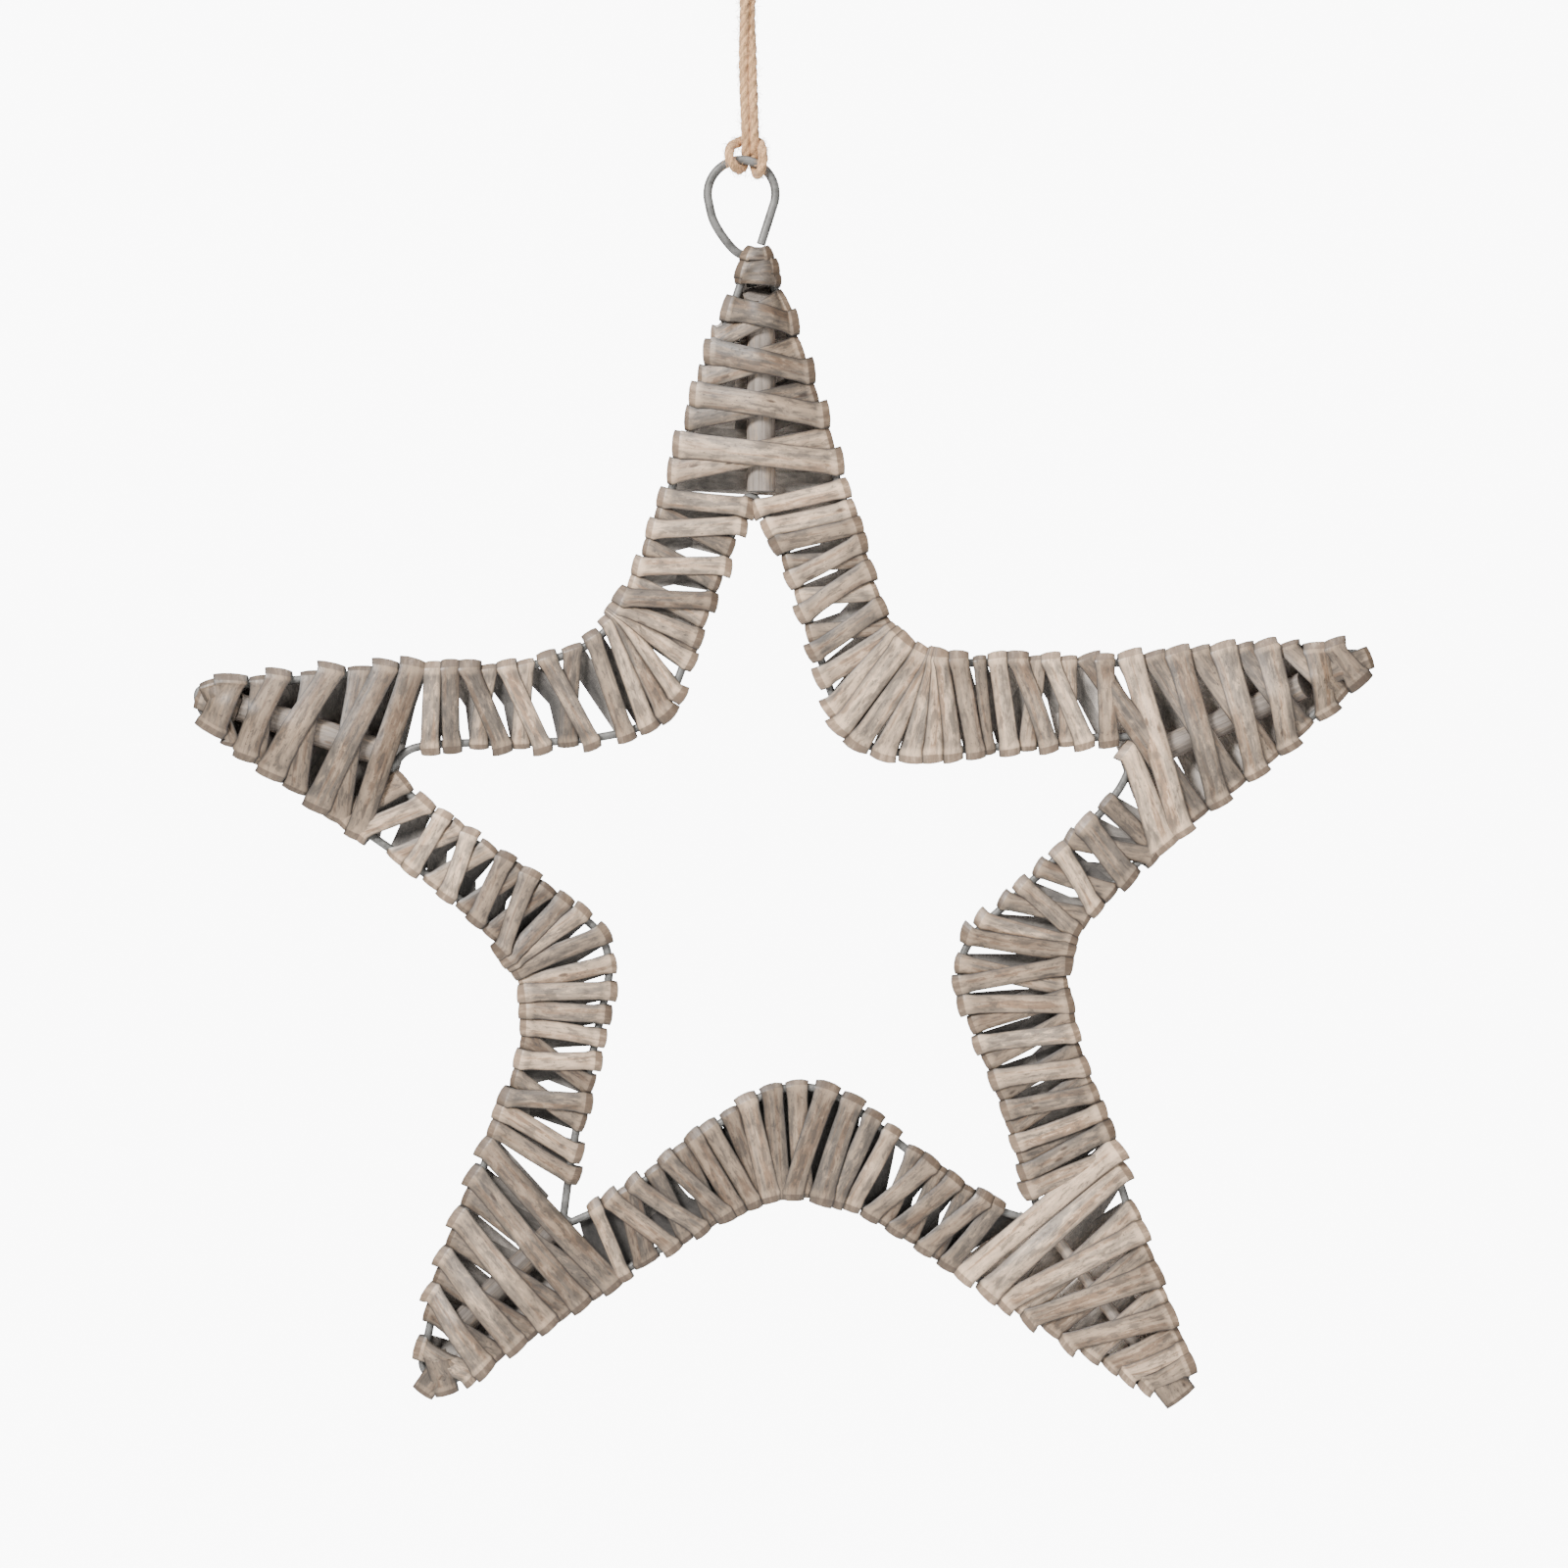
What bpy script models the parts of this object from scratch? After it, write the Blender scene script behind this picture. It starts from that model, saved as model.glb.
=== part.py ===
"""Wicker star: two bent wires wound with split willow, a rod in each tip, a wire ring and a jute string.

The star stands upright in the XZ plane and faces -Y. The origin is its hanging point, between the two
strands of the string just under their knot. Lengths are in metres unless a comment says otherwise.
"""

import math

import bmesh
import bpy
from mathutils import Matrix, Vector

# The star: its shape is drawn on a grid that is 400 squares wide, from the left tip to the right tip.
STAR_SPAN = 0.400
GRID = STAR_SPAN / 400

# Wires
WIRE_DIAMETER = 0.0028
WIRE_INSET = 0.0012
INSET_FADE = 0.040
FORK_GAP = 0.0016
FORK_RADIUS = (WIRE_DIAMETER + FORK_GAP) / 2
WIRE_SAG = 0.00014
CLEARANCE = 0.0003

# Willow strips
STRIP_WIDTH = 0.0065
STRIP_THICKNESS = 0.0006
TIP_LAYER_GAP = 0.0009
WIDEST_SLANT = 1.35
BUNCHED_SHARE = 0.84
TAIL_SHARE = 0.05
BINDING_WIDTH = 0.0050
CROWN_OVERRUN = 0.001
CROWN_RUN_IN = 0.014

# Willow rods, with the outer end cut on a slant
ROD_DIAMETER = 0.0090
THIN_ROD_DIAMETER = 0.0044
ROD_CUT_SLOPE = 0.8
ROD_SIDES = 14

# Hanging ring: round from its right side over its top to its left, where it swings in to its shank
RING_RADIUS = 0.0114
RING_CENTRE_RIGHT = -0.0051
RING_ABOVE_STAR = 0.0103
RING_END_ABOVE_STAR = 0.0052
RING_FIRST_DEGREES = -22
RING_LAST_DEGREES = 206
RING_SWING = ((223, 1.14), (250, 1.29), (265, 1.36))
SHANK_LEFT = 0.0015
SHANK_DEPTH = 0.0090

# Jute string, from the hanging point down to the ring's top, which is a little left of it
STRING_DIAMETER = 0.0030
STRING_DROP = 0.0704
RING_LEFT = 0.0031
KNOT_ABOVE = 0.0046
KNOT_WIDTH = 0.0092
KNOT_DEPTH = 0.0074
KNOT_HEIGHT = 0.0096
END_LENGTH = 0.0150
END_LEANS = {"left_end": -0.35, "right_end": 0.30}

# Grid points of the outer wire, clockwise, one run from each tip to the next over a valley
OUTER_RUNS = {
    "top_right": ((-8, 209), (3, 180), (14, 147), (26, 107), (34, 85), (47, 75), (68, 74), (111, 74),
                  (152, 77), (191, 76)),
    "right": ((193, 70), (164, 42), (135, 19), (107, -6), (96, -18), (93, -31), (97, -56), (110, -93),
              (122, -130), (134, -166)),
    "bottom": ((127, -171), (96, -156), (61, -134), (33, -116), (19, -109), (4, -106), (-14, -109),
               (-38, -123), (-76, -146), (-113, -169)),
    "left": ((-123, -162), (-117, -133), (-105, -100), (-92, -67), (-88, -49), (-90, -33), (-101, -17),
             (-123, 1), (-160, 27), (-195, 54)),
    "top_left": ((-197, 64), (-166, 68), (-133, 71), (-100, 71), (-80, 75), (-65, 82), (-54, 96),
                 (-43, 124), (-30, 163), (-13, 209)),
}
# Grid points of the inner wire, from each fork to the next
INNER_RUNS = {
    "top_right": ((-13, 132), (-1, 109), (7, 84), (14, 61), (21, 48), (33, 42), (52, 42), (78, 44),
                  (101, 47), (118, 48)),
    "right": ((118, 48), (112, 32), (98, 16), (78, -3), (62, -18), (57, -31), (62, -49), (71, -70),
              (79, -93), (85, -116)),
    "bottom": ((85, -116), (65, -108), (42, -91), (23, -76), (12, -70), (1, -69), (-11, -73), (-34, -89),
               (-57, -107), (-76, -117)),
    "left": ((-76, -117), (-72, -93), (-67, -70), (-62, -47), (-59, -30), (-63, -17), (-77, -6),
             (-100, 10), (-123, 25), (-134, 37)),
    "top_left": ((-134, 37), (-125, 44), (-100, 45), (-80, 45), (-61, 47), (-48, 51), (-39, 60),
                 (-30, 83), (-19, 114), (-13, 132)),
}

# Strips on the legs. Each turn is a pair of grid lengths, where it folds over the outer wire and over the
# inner wire, measured along the run from its first tip and its first fork. "in" strips pass in front from
# the outer wire to the inner one and come back behind, and "out" strips do the opposite.
LEG_STRIPS = {
    "top_right": {
        "over": (("in", (82, 12.5), (89.5, 19), (95.5, 26), (101.5, 35), (111, 46.5), (124, 60), (134, 69),
                  (136.5, 79.5), (139.5, 86), (147, 94)),
                 ("in", (150.5, 103), (151.5, 112), (152.5, 119.5), (154, 126), (160, 133.5), (173, 145),
                  (180, 158), (191, 170), (209, 178.5))),
        "under": (("out", (106.5, 29), (118, 41), (131, 54)),
                  ("out", (186, 151), (196.5, 165))),
    },
    "right": {
        "over": (("out", (88.5, 12), (105, 35.5), (120, 48), (131, 65), (136, 82), (139, 89)),
                 ("out", (144, 106), (157, 113), (167, 127), (179, 140), (188.5, 151), (195.5, 162.5),
                  (202, 173))),
        "under": (("in", (95, 42), (113, 56), (125, 72)),
                  ("in", (151, 99), (155, 120), (162, 133), (173, 145), (183, 157), (200, 168), (211, 179))),
    },
    "bottom": {
        "over": (("out", (84, 16.5), (93.5, 21.5), (105, 33), (115, 43), (122.5, 59.5), (128.5, 67.5),
                  (133, 76), (144, 85.5)),
                 ("in", (151, 113), (157.5, 128.5), (163.5, 134.5), (168, 146), (177.5, 159.5), (189, 169),
                  (207.5, 175.5))),
        "under": (("in", (90, 28), (100, 39), (110, 49)),
                  ("out", (139, 95.5), (148, 104), (154, 120), (172, 140), (183, 152), (195, 163))),
    },
    "left": {
        "over": (("in", (82, 18), (88.5, 25.5), (93.5, 42.5), (107, 57), (118.5, 65), (124.5, 73), (130, 81),
                  (138.5, 100)),
                 ("in", (142, 110), (144, 117), (148, 131), (161, 141), (174, 157.5), (189, 172))),
        "under": (("out", (100.5, 36), (114, 49), (133, 90)),
                  ("out", (154, 124), (166, 135), (180, 150), (195, 164.5), (210, 179))),
    },
    "top_left": {
        "over": (("in", (78, 16.5), (84, 24), (90.5, 40.5), (103, 54), (117, 70.5), (134, 82.5), (142, 90.5)),
                 ("in", (145, 98), (146, 105), (147, 116), (148.5, 124), (152.5, 137), (164, 149.5),
                  (177.5, 159), (188.5, 166.5))),
        "under": (("out", (96.5, 33), (109, 47), (126, 63)),
                  ("out", (151, 120), (158, 131), (171, 144), (183, 156.5))),
    },
}

# Strips and rods in the tips. Each turn is a pair of grid lengths from the tip, along the run that ends
# there and along the run that starts there. A rod runs between two grid points, from the tip inwards.
TIPS = {
    "top": {
        "runs": ("top_left", "top_right"),
        "rod": ((-9, 193), (-9, 136), ROD_DIAMETER),
        "binding": ((0.5, 0.5), (5.5, 5.5), (11, 11.5)),
        "over": ("in", (17, 25), (33.7, 40.5), (49, 56), (66.7, 72.5)),
        "under": ("out", (28, 17), (42.5, 33), (57, 48), (75.7, 65)),
    },
    "right": {
        "runs": ("top_right", "right"),
        "rod": ((172, 67), (127, 48), ROD_DIAMETER),
        "binding": ((1.5, 1.5), (7, 7.5)),
        "over": ("in", (13.5, 17), (29.5, 34.5), (44, 48.5), (59.5, 64.5), (75.5, 80.5)),
        "under": ("out", (21.5, 11), (37.5, 28), (52.5, 42.5), (67.5, 57.5)),
    },
    "bottom_right": {
        "runs": ("right", "bottom"),
        "rod": ((121, -162), (91, -122), THIN_ROD_DIAMETER),
        "binding": ((-1, 3),),
        "over": ("in", (7, 12.5), (20, 34.5), (34.7, 50), (49.7, 60.5), (70.5, 68.5), (77.5, 76.5)),
        "under": ("out", (13, 19), (28, 27.5), (42.7, 42.5), (57, 54.5)),
    },
    "bottom_left": {
        "runs": ("bottom", "left"),
        "rod": ((-115, -155), (-79, -119), ROD_DIAMETER),
        "binding": ((-0.5, -0.5),),
        "over": ("in", (6, 6), (12.5, 22), (24.5, 35), (37.5, 49), (50.5, 64), (61, 74.5)),
        "under": ("out", (17.5, 17), (31, 29.5), (44.5, 43), (58.5, 58)),
    },
    "left": {
        "runs": ("left", "top_left"),
        "rod": ((-188, 59), (-138, 43), ROD_DIAMETER),
        "binding": ((-0.5, 1),),
        "over": ("in", (6, 9.5), (16.5, 25.5), (27.5, 43), (46.5, 61.5), (63, 71)),
        "under": ("out", (20, 21), (37, 38), (54.5, 54)),
    },
}

WILLOW_OVER = (0.36, 0.30, 0.25, 1)
WILLOW_UNDER = (0.24, 0.205, 0.175, 1)
WILLOW_ROD = (0.42, 0.37, 0.33, 1)
GALVANISED = (0.22, 0.22, 0.21, 1)
JUTE = (0.58, 0.40, 0.24, 1)


def clear_scene():
    for thing in list(bpy.data.objects):
        bpy.data.objects.remove(thing, do_unlink=True)


def new_material(name, colour, roughness, metallic=0.0):
    material = bpy.data.materials.new(name)
    material.use_nodes = True
    shader = material.node_tree.nodes["Principled BSDF"]
    shader.inputs["Base Color"].default_value = colour
    shader.inputs["Roughness"].default_value = roughness
    shader.inputs["Metallic"].default_value = metallic
    return material


def add_object(name, data, collection, material):
    data.materials.append(material)
    thing = bpy.data.objects.new(name, data)
    collection.objects.link(thing)
    return thing


def smooth_line(points, steps=12):
    """Points of a Catmull-Rom curve through the given ones."""
    line = [2 * points[0] - points[1], *points, 2 * points[-1] - points[-2]]
    smooth = []
    for before, start, end, after in zip(line, line[1:], line[2:], line[3:]):
        for step in range(steps):
            t = step / steps
            pull = (end - before) * t + (2 * before - 5 * start + 4 * end - after) * t * t
            smooth.append((2 * start + pull + (3 * start - before - 3 * end + after) * t ** 3) / 2)
    smooth.append(points[-1])
    return smooth


class Rail:
    """A wire's centre line, measured along its length; side is the outward normal's turn from it."""

    def __init__(self, points, side):
        self.points = points
        self.side = side
        self.marks = [0.0]
        for a, b in zip(points, points[1:]):
            self.marks.append(self.marks[-1] + (b - a).length)
        self.length = self.marks[-1]

    def at(self, distance):
        """The point, the direction and the outward normal at a distance; it runs on straight past its ends."""
        place = 0
        while place < len(self.marks) - 2 and self.marks[place + 1] < distance:
            place += 1
        a, b = self.points[place], self.points[place + 1]
        along = (b - a).normalized()
        point = a + along * (distance - self.marks[place])
        return point, along, Vector((along.z, 0, -along.x)) * self.side

    def reversed(self):
        return Rail(self.points[::-1], -self.side)


def wire_rail(grid_points, side):
    """The wire of one run: the band's edge through the grid points, moved in by the inset off its tips."""
    edge = Rail(smooth_line([Vector((x * GRID, 0, z * GRID)) for x, z in grid_points]), side)
    moved = []
    for distance in edge.marks:
        point, _, outward = edge.at(distance)
        fade = min(1, distance / INSET_FADE, (edge.length - distance) / INSET_FADE)
        moved.append(point - outward * WIRE_INSET * fade)
    return Rail(moved, side)


def hairpin(end, end_along, start, start_along, steps=6):
    """The inner points of a round bend from one run's end to the next run's start."""
    turn = end_along.angle(start_along)
    handle = (start - end).length * 2 / 3 * math.tan(turn / 4) / math.sin(turn / 2)
    first, second = end + end_along * handle, start - start_along * handle
    bend = []
    for step in range(1, steps):
        t = step / steps
        u = 1 - t
        bend.append(end * u ** 3 + first * 3 * u * u * t + second * 3 * u * t * t + start * t ** 3)
    return bend


def wire_loop(rails):
    """The closed centre line of a wire: its runs, cut back where they meet and joined by round bends."""
    loop = []
    cuts = []
    for this, after in zip(rails, rails[1:] + rails[:1]):
        end, along, _ = this.at(this.length)
        start, onward, _ = after.at(0)
        half_turn = along.angle(onward) / 2
        missing = 2 * FORK_RADIUS * math.sin(half_turn) - (start - end).length
        cuts.append(max(0.0, missing / 2 / math.cos(half_turn)))
    for index, rail in enumerate(rails):
        first, last = cuts[index - 1], rail.length - cuts[index]
        loop.append(rail.at(first)[0])
        loop += [point for point, mark in zip(rail.points, rail.marks) if first < mark < last]
        loop.append(rail.at(last)[0])
        after = rails[(index + 1) % len(rails)]
        end, along, _ = rail.at(last)
        start, onward, _ = after.at(cuts[index])
        loop += hairpin(end, along, start, onward)
    return loop


def thinned(points, sag):
    """A closed line's points, leaving out those that lie nearer than sag to the straight line past them."""
    kept = [0]
    for index in range(2, len(points)):
        start, end = points[kept[-1]], points[index]
        chord = (end - start).normalized()
        skipped = points[kept[-1] + 1:index]
        if max((spot - start).cross(chord).length for spot in skipped) > sag:
            kept.append(index - 1)
    return [points[index] for index in kept]


def tube(name, points, diameter, collection, material, closed=False, roundness=2):
    curve = bpy.data.curves.new(name, "CURVE")
    curve.dimensions = "3D"
    curve.render_resolution_u = 0
    curve.bevel_depth = diameter / 2
    curve.bevel_resolution = roundness
    curve.use_fill_caps = True
    spline = curve.splines.new("POLY")
    spline.points.add(len(points) - 1)
    for spot, point in zip(spline.points, points):
        spot.co = (*point, 1)
    spline.use_cyclic_u = closed
    return add_object(name, curve, collection, material)


def fold_widths(places, crossing, width):
    """How wide each turn is along a wire: a slanted strip is wider, and bunched turns narrow each other."""
    widths = []
    for index, place in enumerate(places):
        gaps = [abs(places[near] - place) for near in (index - 1, index + 1) if 0 <= near < len(places)]
        widths.append(min([width * crossing[index], *(BUNCHED_SHARE * gap for gap in gaps)]))
    return widths


def slant(first, second):
    """How much wider than itself a strip crosses the wires, for its direction over them."""
    (start, start_along, _), (end, end_along, _) = first, second
    over = (end - start).normalized()
    square = over.cross((start_along + end_along).normalized()).length
    return 1 / max(square, 1 / WIDEST_SLANT)


class Turns:
    """The turns of one limb's layer between two rails: places and fold widths on each."""

    def __init__(self, rails, pairs, width=STRIP_WIDTH):
        self.rails = rails
        self.places = [[pair[side] * GRID for pair in pairs] for side in (0, 1)]
        crossing = [slant(rails[0].at(a), rails[1].at(b)) for a, b in zip(*self.places)]
        self.widths = [fold_widths(places, crossing, width) for places in self.places]


class Crown:
    """How far strips stand off the wires' plane over a rod, along the tip's middle line."""

    def __init__(self, start, end, diameter):
        self.start = start
        self.along = (end - start).normalized()
        self.rise = diameter / 2 - WIRE_DIAMETER / 2
        self.length = (end - start).length

    def lift(self, point, room):
        """The height over the rod at a point of the middle line; room is the way from there to the wires."""
        place = (point - self.start).dot(self.along)
        past = max(-place, place - self.length) - CROWN_OVERRUN
        full = self.rise * math.hypot(1, self.rise / max(room, 2 * self.rise))
        return full * min(1.0, max(0.0, 1 - past / CROWN_RUN_IN))


def fold_section(rail, place, width, height, side):
    """Four corners of a strip where it folds over a wire; side is -1 in front and 1 behind."""
    corners = []
    for depth in (height, height + STRIP_THICKNESS):
        for end in (-1, 1):
            point, _, outward = rail.at(place + end * width / 2)
            corners.append(point + outward * depth + Vector((0, side * depth, 0)))
    return corners


def crossing_point(a, b, crown):
    """Where the pass from a to b crosses the tip's middle line."""
    across = Vector((-crown.along.z, 0, crown.along.x))
    from_a, from_b = (a - crown.start).dot(across), (b - crown.start).dot(across)
    return a + (b - a) * (from_a / (from_a - from_b)), min(abs(from_a), abs(from_b))


def middle_section(first, second, width, height, side, crown):
    """Four corners of a strip halfway between the wires: level there, or lifted over a rod."""
    (a, a_along, _), (b, b_along, _) = first, second
    middle, room, along = (a + b) / 2, 1, (a_along + b_along).normalized()
    if crown:
        middle, room = crossing_point(a, b, crown)
        along = crown.along
    corners = []
    for depth in (height, height + STRIP_THICKNESS):
        for end in (-1, 1):
            corner = middle + along * width / 2 * end
            lift = crown.lift(corner, room) if crown else 0
            corners.append(corner + Vector((0, side * (depth + lift), 0)))
    return corners


def strip_sections(turns, sense, chosen, height, crown, back_lift=0.0):
    """The corner sections of a strip wound round two rails, in the order that it runs."""
    near, far = (0, 1) if sense == "in" else (1, 0)

    def corner(which, turn, side):
        place, width = turns.places[which][turn], turns.widths[which][turn]
        square = fold_section(turns.rails[which], place, width, height, side)
        if side > 0:
            square = [spot + Vector((0, back_lift, 0)) for spot in square]
        return square

    def middle(which, turn, other, other_turn, side):
        ends = ((which, turn), (other, other_turn))
        a, b = [turns.rails[rail].at(turns.places[rail][index]) for rail, index in ends]
        width = sum(turns.widths[rail][index] for rail, index in ends) / 2
        level = height + back_lift if side > 0 else height
        return middle_section(a, b, width, level, side, crown)

    def tail(which, turn, other):
        fold, inner = corner(which, turn, 1), middle(which, turn, other, turn, 1)
        shift = (sum(inner, Vector()) - sum(fold, Vector())) / 4 * TAIL_SHARE
        return [spot + shift for spot in fold]

    single = len(chosen) == 1
    sections = [] if single else [tail(near, chosen[0], far)]
    for turn, after in zip(chosen, [*chosen[1:], None]):
        sections += [corner(near, turn, 1), corner(near, turn, -1)]
        if crown:
            sections.append(middle(near, turn, far, turn, -1))
        sections += [corner(far, turn, -1), corner(far, turn, 1)]
        if after is not None and crown:
            sections.append(middle(far, turn, near, after, 1))
    if single:
        sections.append(middle(far, chosen[0], near, chosen[0], 1))
    else:
        sections.append(tail(far, chosen[-1], near))
    return sections


def wound_strip(name, sections, joined, collection, material):
    """A strip through its sections of four corners each; a joined one is a band whose ends meet."""
    mesh = bpy.data.meshes.new(name)
    builder = bmesh.new()
    rings = [[builder.verts.new(corner) for corner in corners] for corners in sections]
    order = (0, 1, 3, 2)
    following_rings = rings[1:] + rings[:1] if joined else rings[1:]
    for ring, following in zip(rings, following_rings):
        for here, there in zip(order, order[1:] + order[:1]):
            a, b, c, d = ring[here], ring[there], following[there], following[here]
            halves = ((a, b, c), (a, c, d)) if here < there else ((a, b, d), (b, c, d))
            for half in halves:
                builder.faces.new(half)
    if not joined:
        for ring in (rings[0], rings[-1]):
            builder.faces.new([ring[corner] for corner in order])
    bmesh.ops.recalc_face_normals(builder, faces=builder.faces)
    builder.to_mesh(mesh)
    builder.free()
    return add_object(name, mesh, collection, material)


def wire_height():
    """The level of the under strips' inner face over the wires' middle."""
    return WIRE_DIAMETER / 2 + CLEARANCE


def over_height(gap):
    return wire_height() + STRIP_THICKNESS + gap


def build_leg(name, rails, collection, materials):
    """The over and under strips of a run, each in two halves that end at the valley's middle."""
    layers = {"over": over_height(CLEARANCE), "under": wire_height()}
    for layer, height in layers.items():
        halves = LEG_STRIPS[name][layer]
        turns = Turns(rails, [pair for half in halves for pair in half[1:]])
        first = 0
        for side, (sense, *pairs) in zip(("before_valley", "after_valley"), halves):
            chosen = list(range(first, first + len(pairs)))
            first += len(pairs)
            sections = strip_sections(turns, sense, chosen, height, None)
            wound_strip(f"{name}_{side}_{layer}_strip", sections, False, collection, materials[layer])


def build_tip(name, tip, rails, collection, materials):
    """The over and under strips of a tip, which cross over its rod, and the binding that closes its end."""
    ending, starting = tip["runs"]
    pair = (rails[ending].reversed(), rails[starting])
    rod_start, rod_end, diameter = tip["rod"]
    crown = Crown(grid_point(rod_start), grid_point(rod_end), diameter)
    layers = {"over": over_height(TIP_LAYER_GAP), "under": wire_height()}
    for layer, height in layers.items():
        sense, *pairs = tip[layer]
        sections = strip_sections(Turns(pair, pairs), sense, list(range(len(pairs))), height, crown)
        wound_strip(f"{name}_tip_{layer}_strip", sections, False, collection, materials[layer])
    turns = Turns(pair, tip["binding"], BINDING_WIDTH)
    chosen = list(range(len(tip["binding"])))
    back_lift = WIRE_DIAMETER - STRIP_THICKNESS if name == "top" else 0.0
    sections = strip_sections(turns, "in", chosen, over_height(TIP_LAYER_GAP), crown, back_lift)
    wound_strip(f"{name}_tip_binding", sections, len(chosen) == 1, collection, materials["over"])


def grid_point(spot):
    return Vector((spot[0] * GRID, 0, spot[1] * GRID))


def build_rod(name, start, end, diameter, collection, material):
    """A round rod with its outer end cut on a slant that faces forwards."""
    mesh = bpy.data.meshes.new(name)
    builder = bmesh.new()
    length = (end - start).length
    bmesh.ops.create_cone(builder, cap_ends=True, segments=ROD_SIDES, radius1=diameter / 2,
                          radius2=diameter / 2, depth=length)
    for vert in builder.verts:
        if vert.co.z > 0:
            vert.co.z += ROD_CUT_SLOPE * (vert.co.y - diameter / 2)
    aim = (start - end).to_track_quat("Z", "Y").to_matrix().to_4x4()
    bmesh.ops.transform(builder, matrix=Matrix.Translation((start + end) / 2) @ aim, verts=builder.verts)
    builder.to_mesh(mesh)
    builder.free()
    return add_object(name, mesh, collection, material)


def top_of_star():
    return (grid_point(OUTER_RUNS["top_left"][-1]) + grid_point(OUTER_RUNS["top_right"][0])) / 2


def ring_centre():
    return top_of_star() + Vector((RING_CENTRE_RIGHT, 0, RING_ABOVE_STAR + RING_RADIUS))


def ring_line():
    """The ring's centre line from its free cut end, over the top and down behind the top tip's wire."""
    top, centre = top_of_star(), ring_centre()
    bends = [(degrees, 1.0) for degrees in range(RING_FIRST_DEGREES, RING_LAST_DEGREES, 12)]
    line = [top + Vector((WIRE_DIAMETER / 2, 0, RING_END_ABOVE_STAR))]
    for degrees, share in (*bends, *RING_SWING):
        angle = math.radians(degrees)
        line.append(centre + RING_RADIUS * share * Vector((math.cos(angle), 0, math.sin(angle))))
    behind = WIRE_DIAMETER + CLEARANCE
    line[-1].y = behind / 2
    line.append(top + Vector((-2.4 * SHANK_LEFT, behind * 0.8, RING_END_ABOVE_STAR)))
    line.append(top + Vector((-1.2 * SHANK_LEFT, behind, RING_END_ABOVE_STAR / 2)))
    line.append(top + Vector((-SHANK_LEFT, behind, -RING_END_ABOVE_STAR / 5)))
    line.append(top + Vector((-SHANK_LEFT, behind, -SHANK_DEPTH)))
    return line


def string_route():
    """The string's route, in millimetres from the hanging point, from its knot down, hitched, and back up."""
    return ((-1.7, 0.0, 4.0), (-2.9, 0.0, -0.5), (-2.3, 0.0, -8.0), (-1.8, 0.0, -20.0), (-1.7, 0.0, -35.0),
            (-1.8, -0.3, -48.0), (-2.3, -1.0, -56.5), (-4.2, -2.0, -62.5), (-6.4, -3.0, -67.0),
            (-7.3, -3.4, -71.0), (-6.8, -2.4, -74.2), (-5.8, 0.4, -75.2), (-4.6, 2.9, -73.4),
            (-3.7, 3.6, -69.8), (-2.8, 3.6, -66.2), (-0.6, 3.6, -64.0), (1.5, 3.6, -66.2),
            (2.4, 3.7, -70.4), (2.0, 2.8, -74.6), (2.2, 0.2, -76.6), (3.9, -3.1, -75.4),
            (5.6, -3.6, -71.6), (5.9, -3.2, -67.2), (4.2, -2.0, -62.5), (2.3, -1.0, -56.5),
            (1.8, -0.3, -48.0), (1.7, 0.0, -35.0), (1.8, 0.0, -20.0), (2.3, 0.0, -8.0),
            (2.9, 0.0, -0.5), (1.7, 0.0, 4.0))


def build_knot(collection, helpers, material):
    """The overhand knot above the hanging point, a rounded lump with the string's two short ends."""
    middle = Vector((0, 0, KNOT_ABOVE + KNOT_HEIGHT / 2))
    mesh = bpy.data.meshes.new("string_knot")
    builder = bmesh.new()
    bmesh.ops.create_icosphere(builder, subdivisions=2, radius=0.5)
    bmesh.ops.scale(builder, vec=(KNOT_WIDTH, KNOT_DEPTH, KNOT_HEIGHT), verts=builder.verts)
    bmesh.ops.translate(builder, vec=middle, verts=builder.verts)
    builder.to_mesh(mesh)
    builder.free()
    knot = add_object("string_knot", mesh, collection, material)
    for name, lean in END_LEANS.items():
        end_mesh = bpy.data.meshes.new(name)
        builder = bmesh.new()
        bmesh.ops.create_cone(builder, cap_ends=True, segments=8, radius1=STRING_DIAMETER / 2,
                              radius2=STRING_DIAMETER / 2, depth=END_LENGTH)
        bmesh.ops.translate(builder, vec=(0, 0, END_LENGTH / 2), verts=builder.verts)
        place = Matrix.Translation(middle) @ Matrix.Rotation(lean, 4, "Y")
        bmesh.ops.transform(builder, matrix=place, verts=builder.verts)
        builder.to_mesh(end_mesh)
        builder.free()
        end = add_object(name, end_mesh, helpers, material)
        end.hide_render = True
        end.display_type = "WIRE"
        joint = knot.modifiers.new(name, "BOOLEAN")
        joint.operation = "UNION"
        joint.object = end
    return knot


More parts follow.
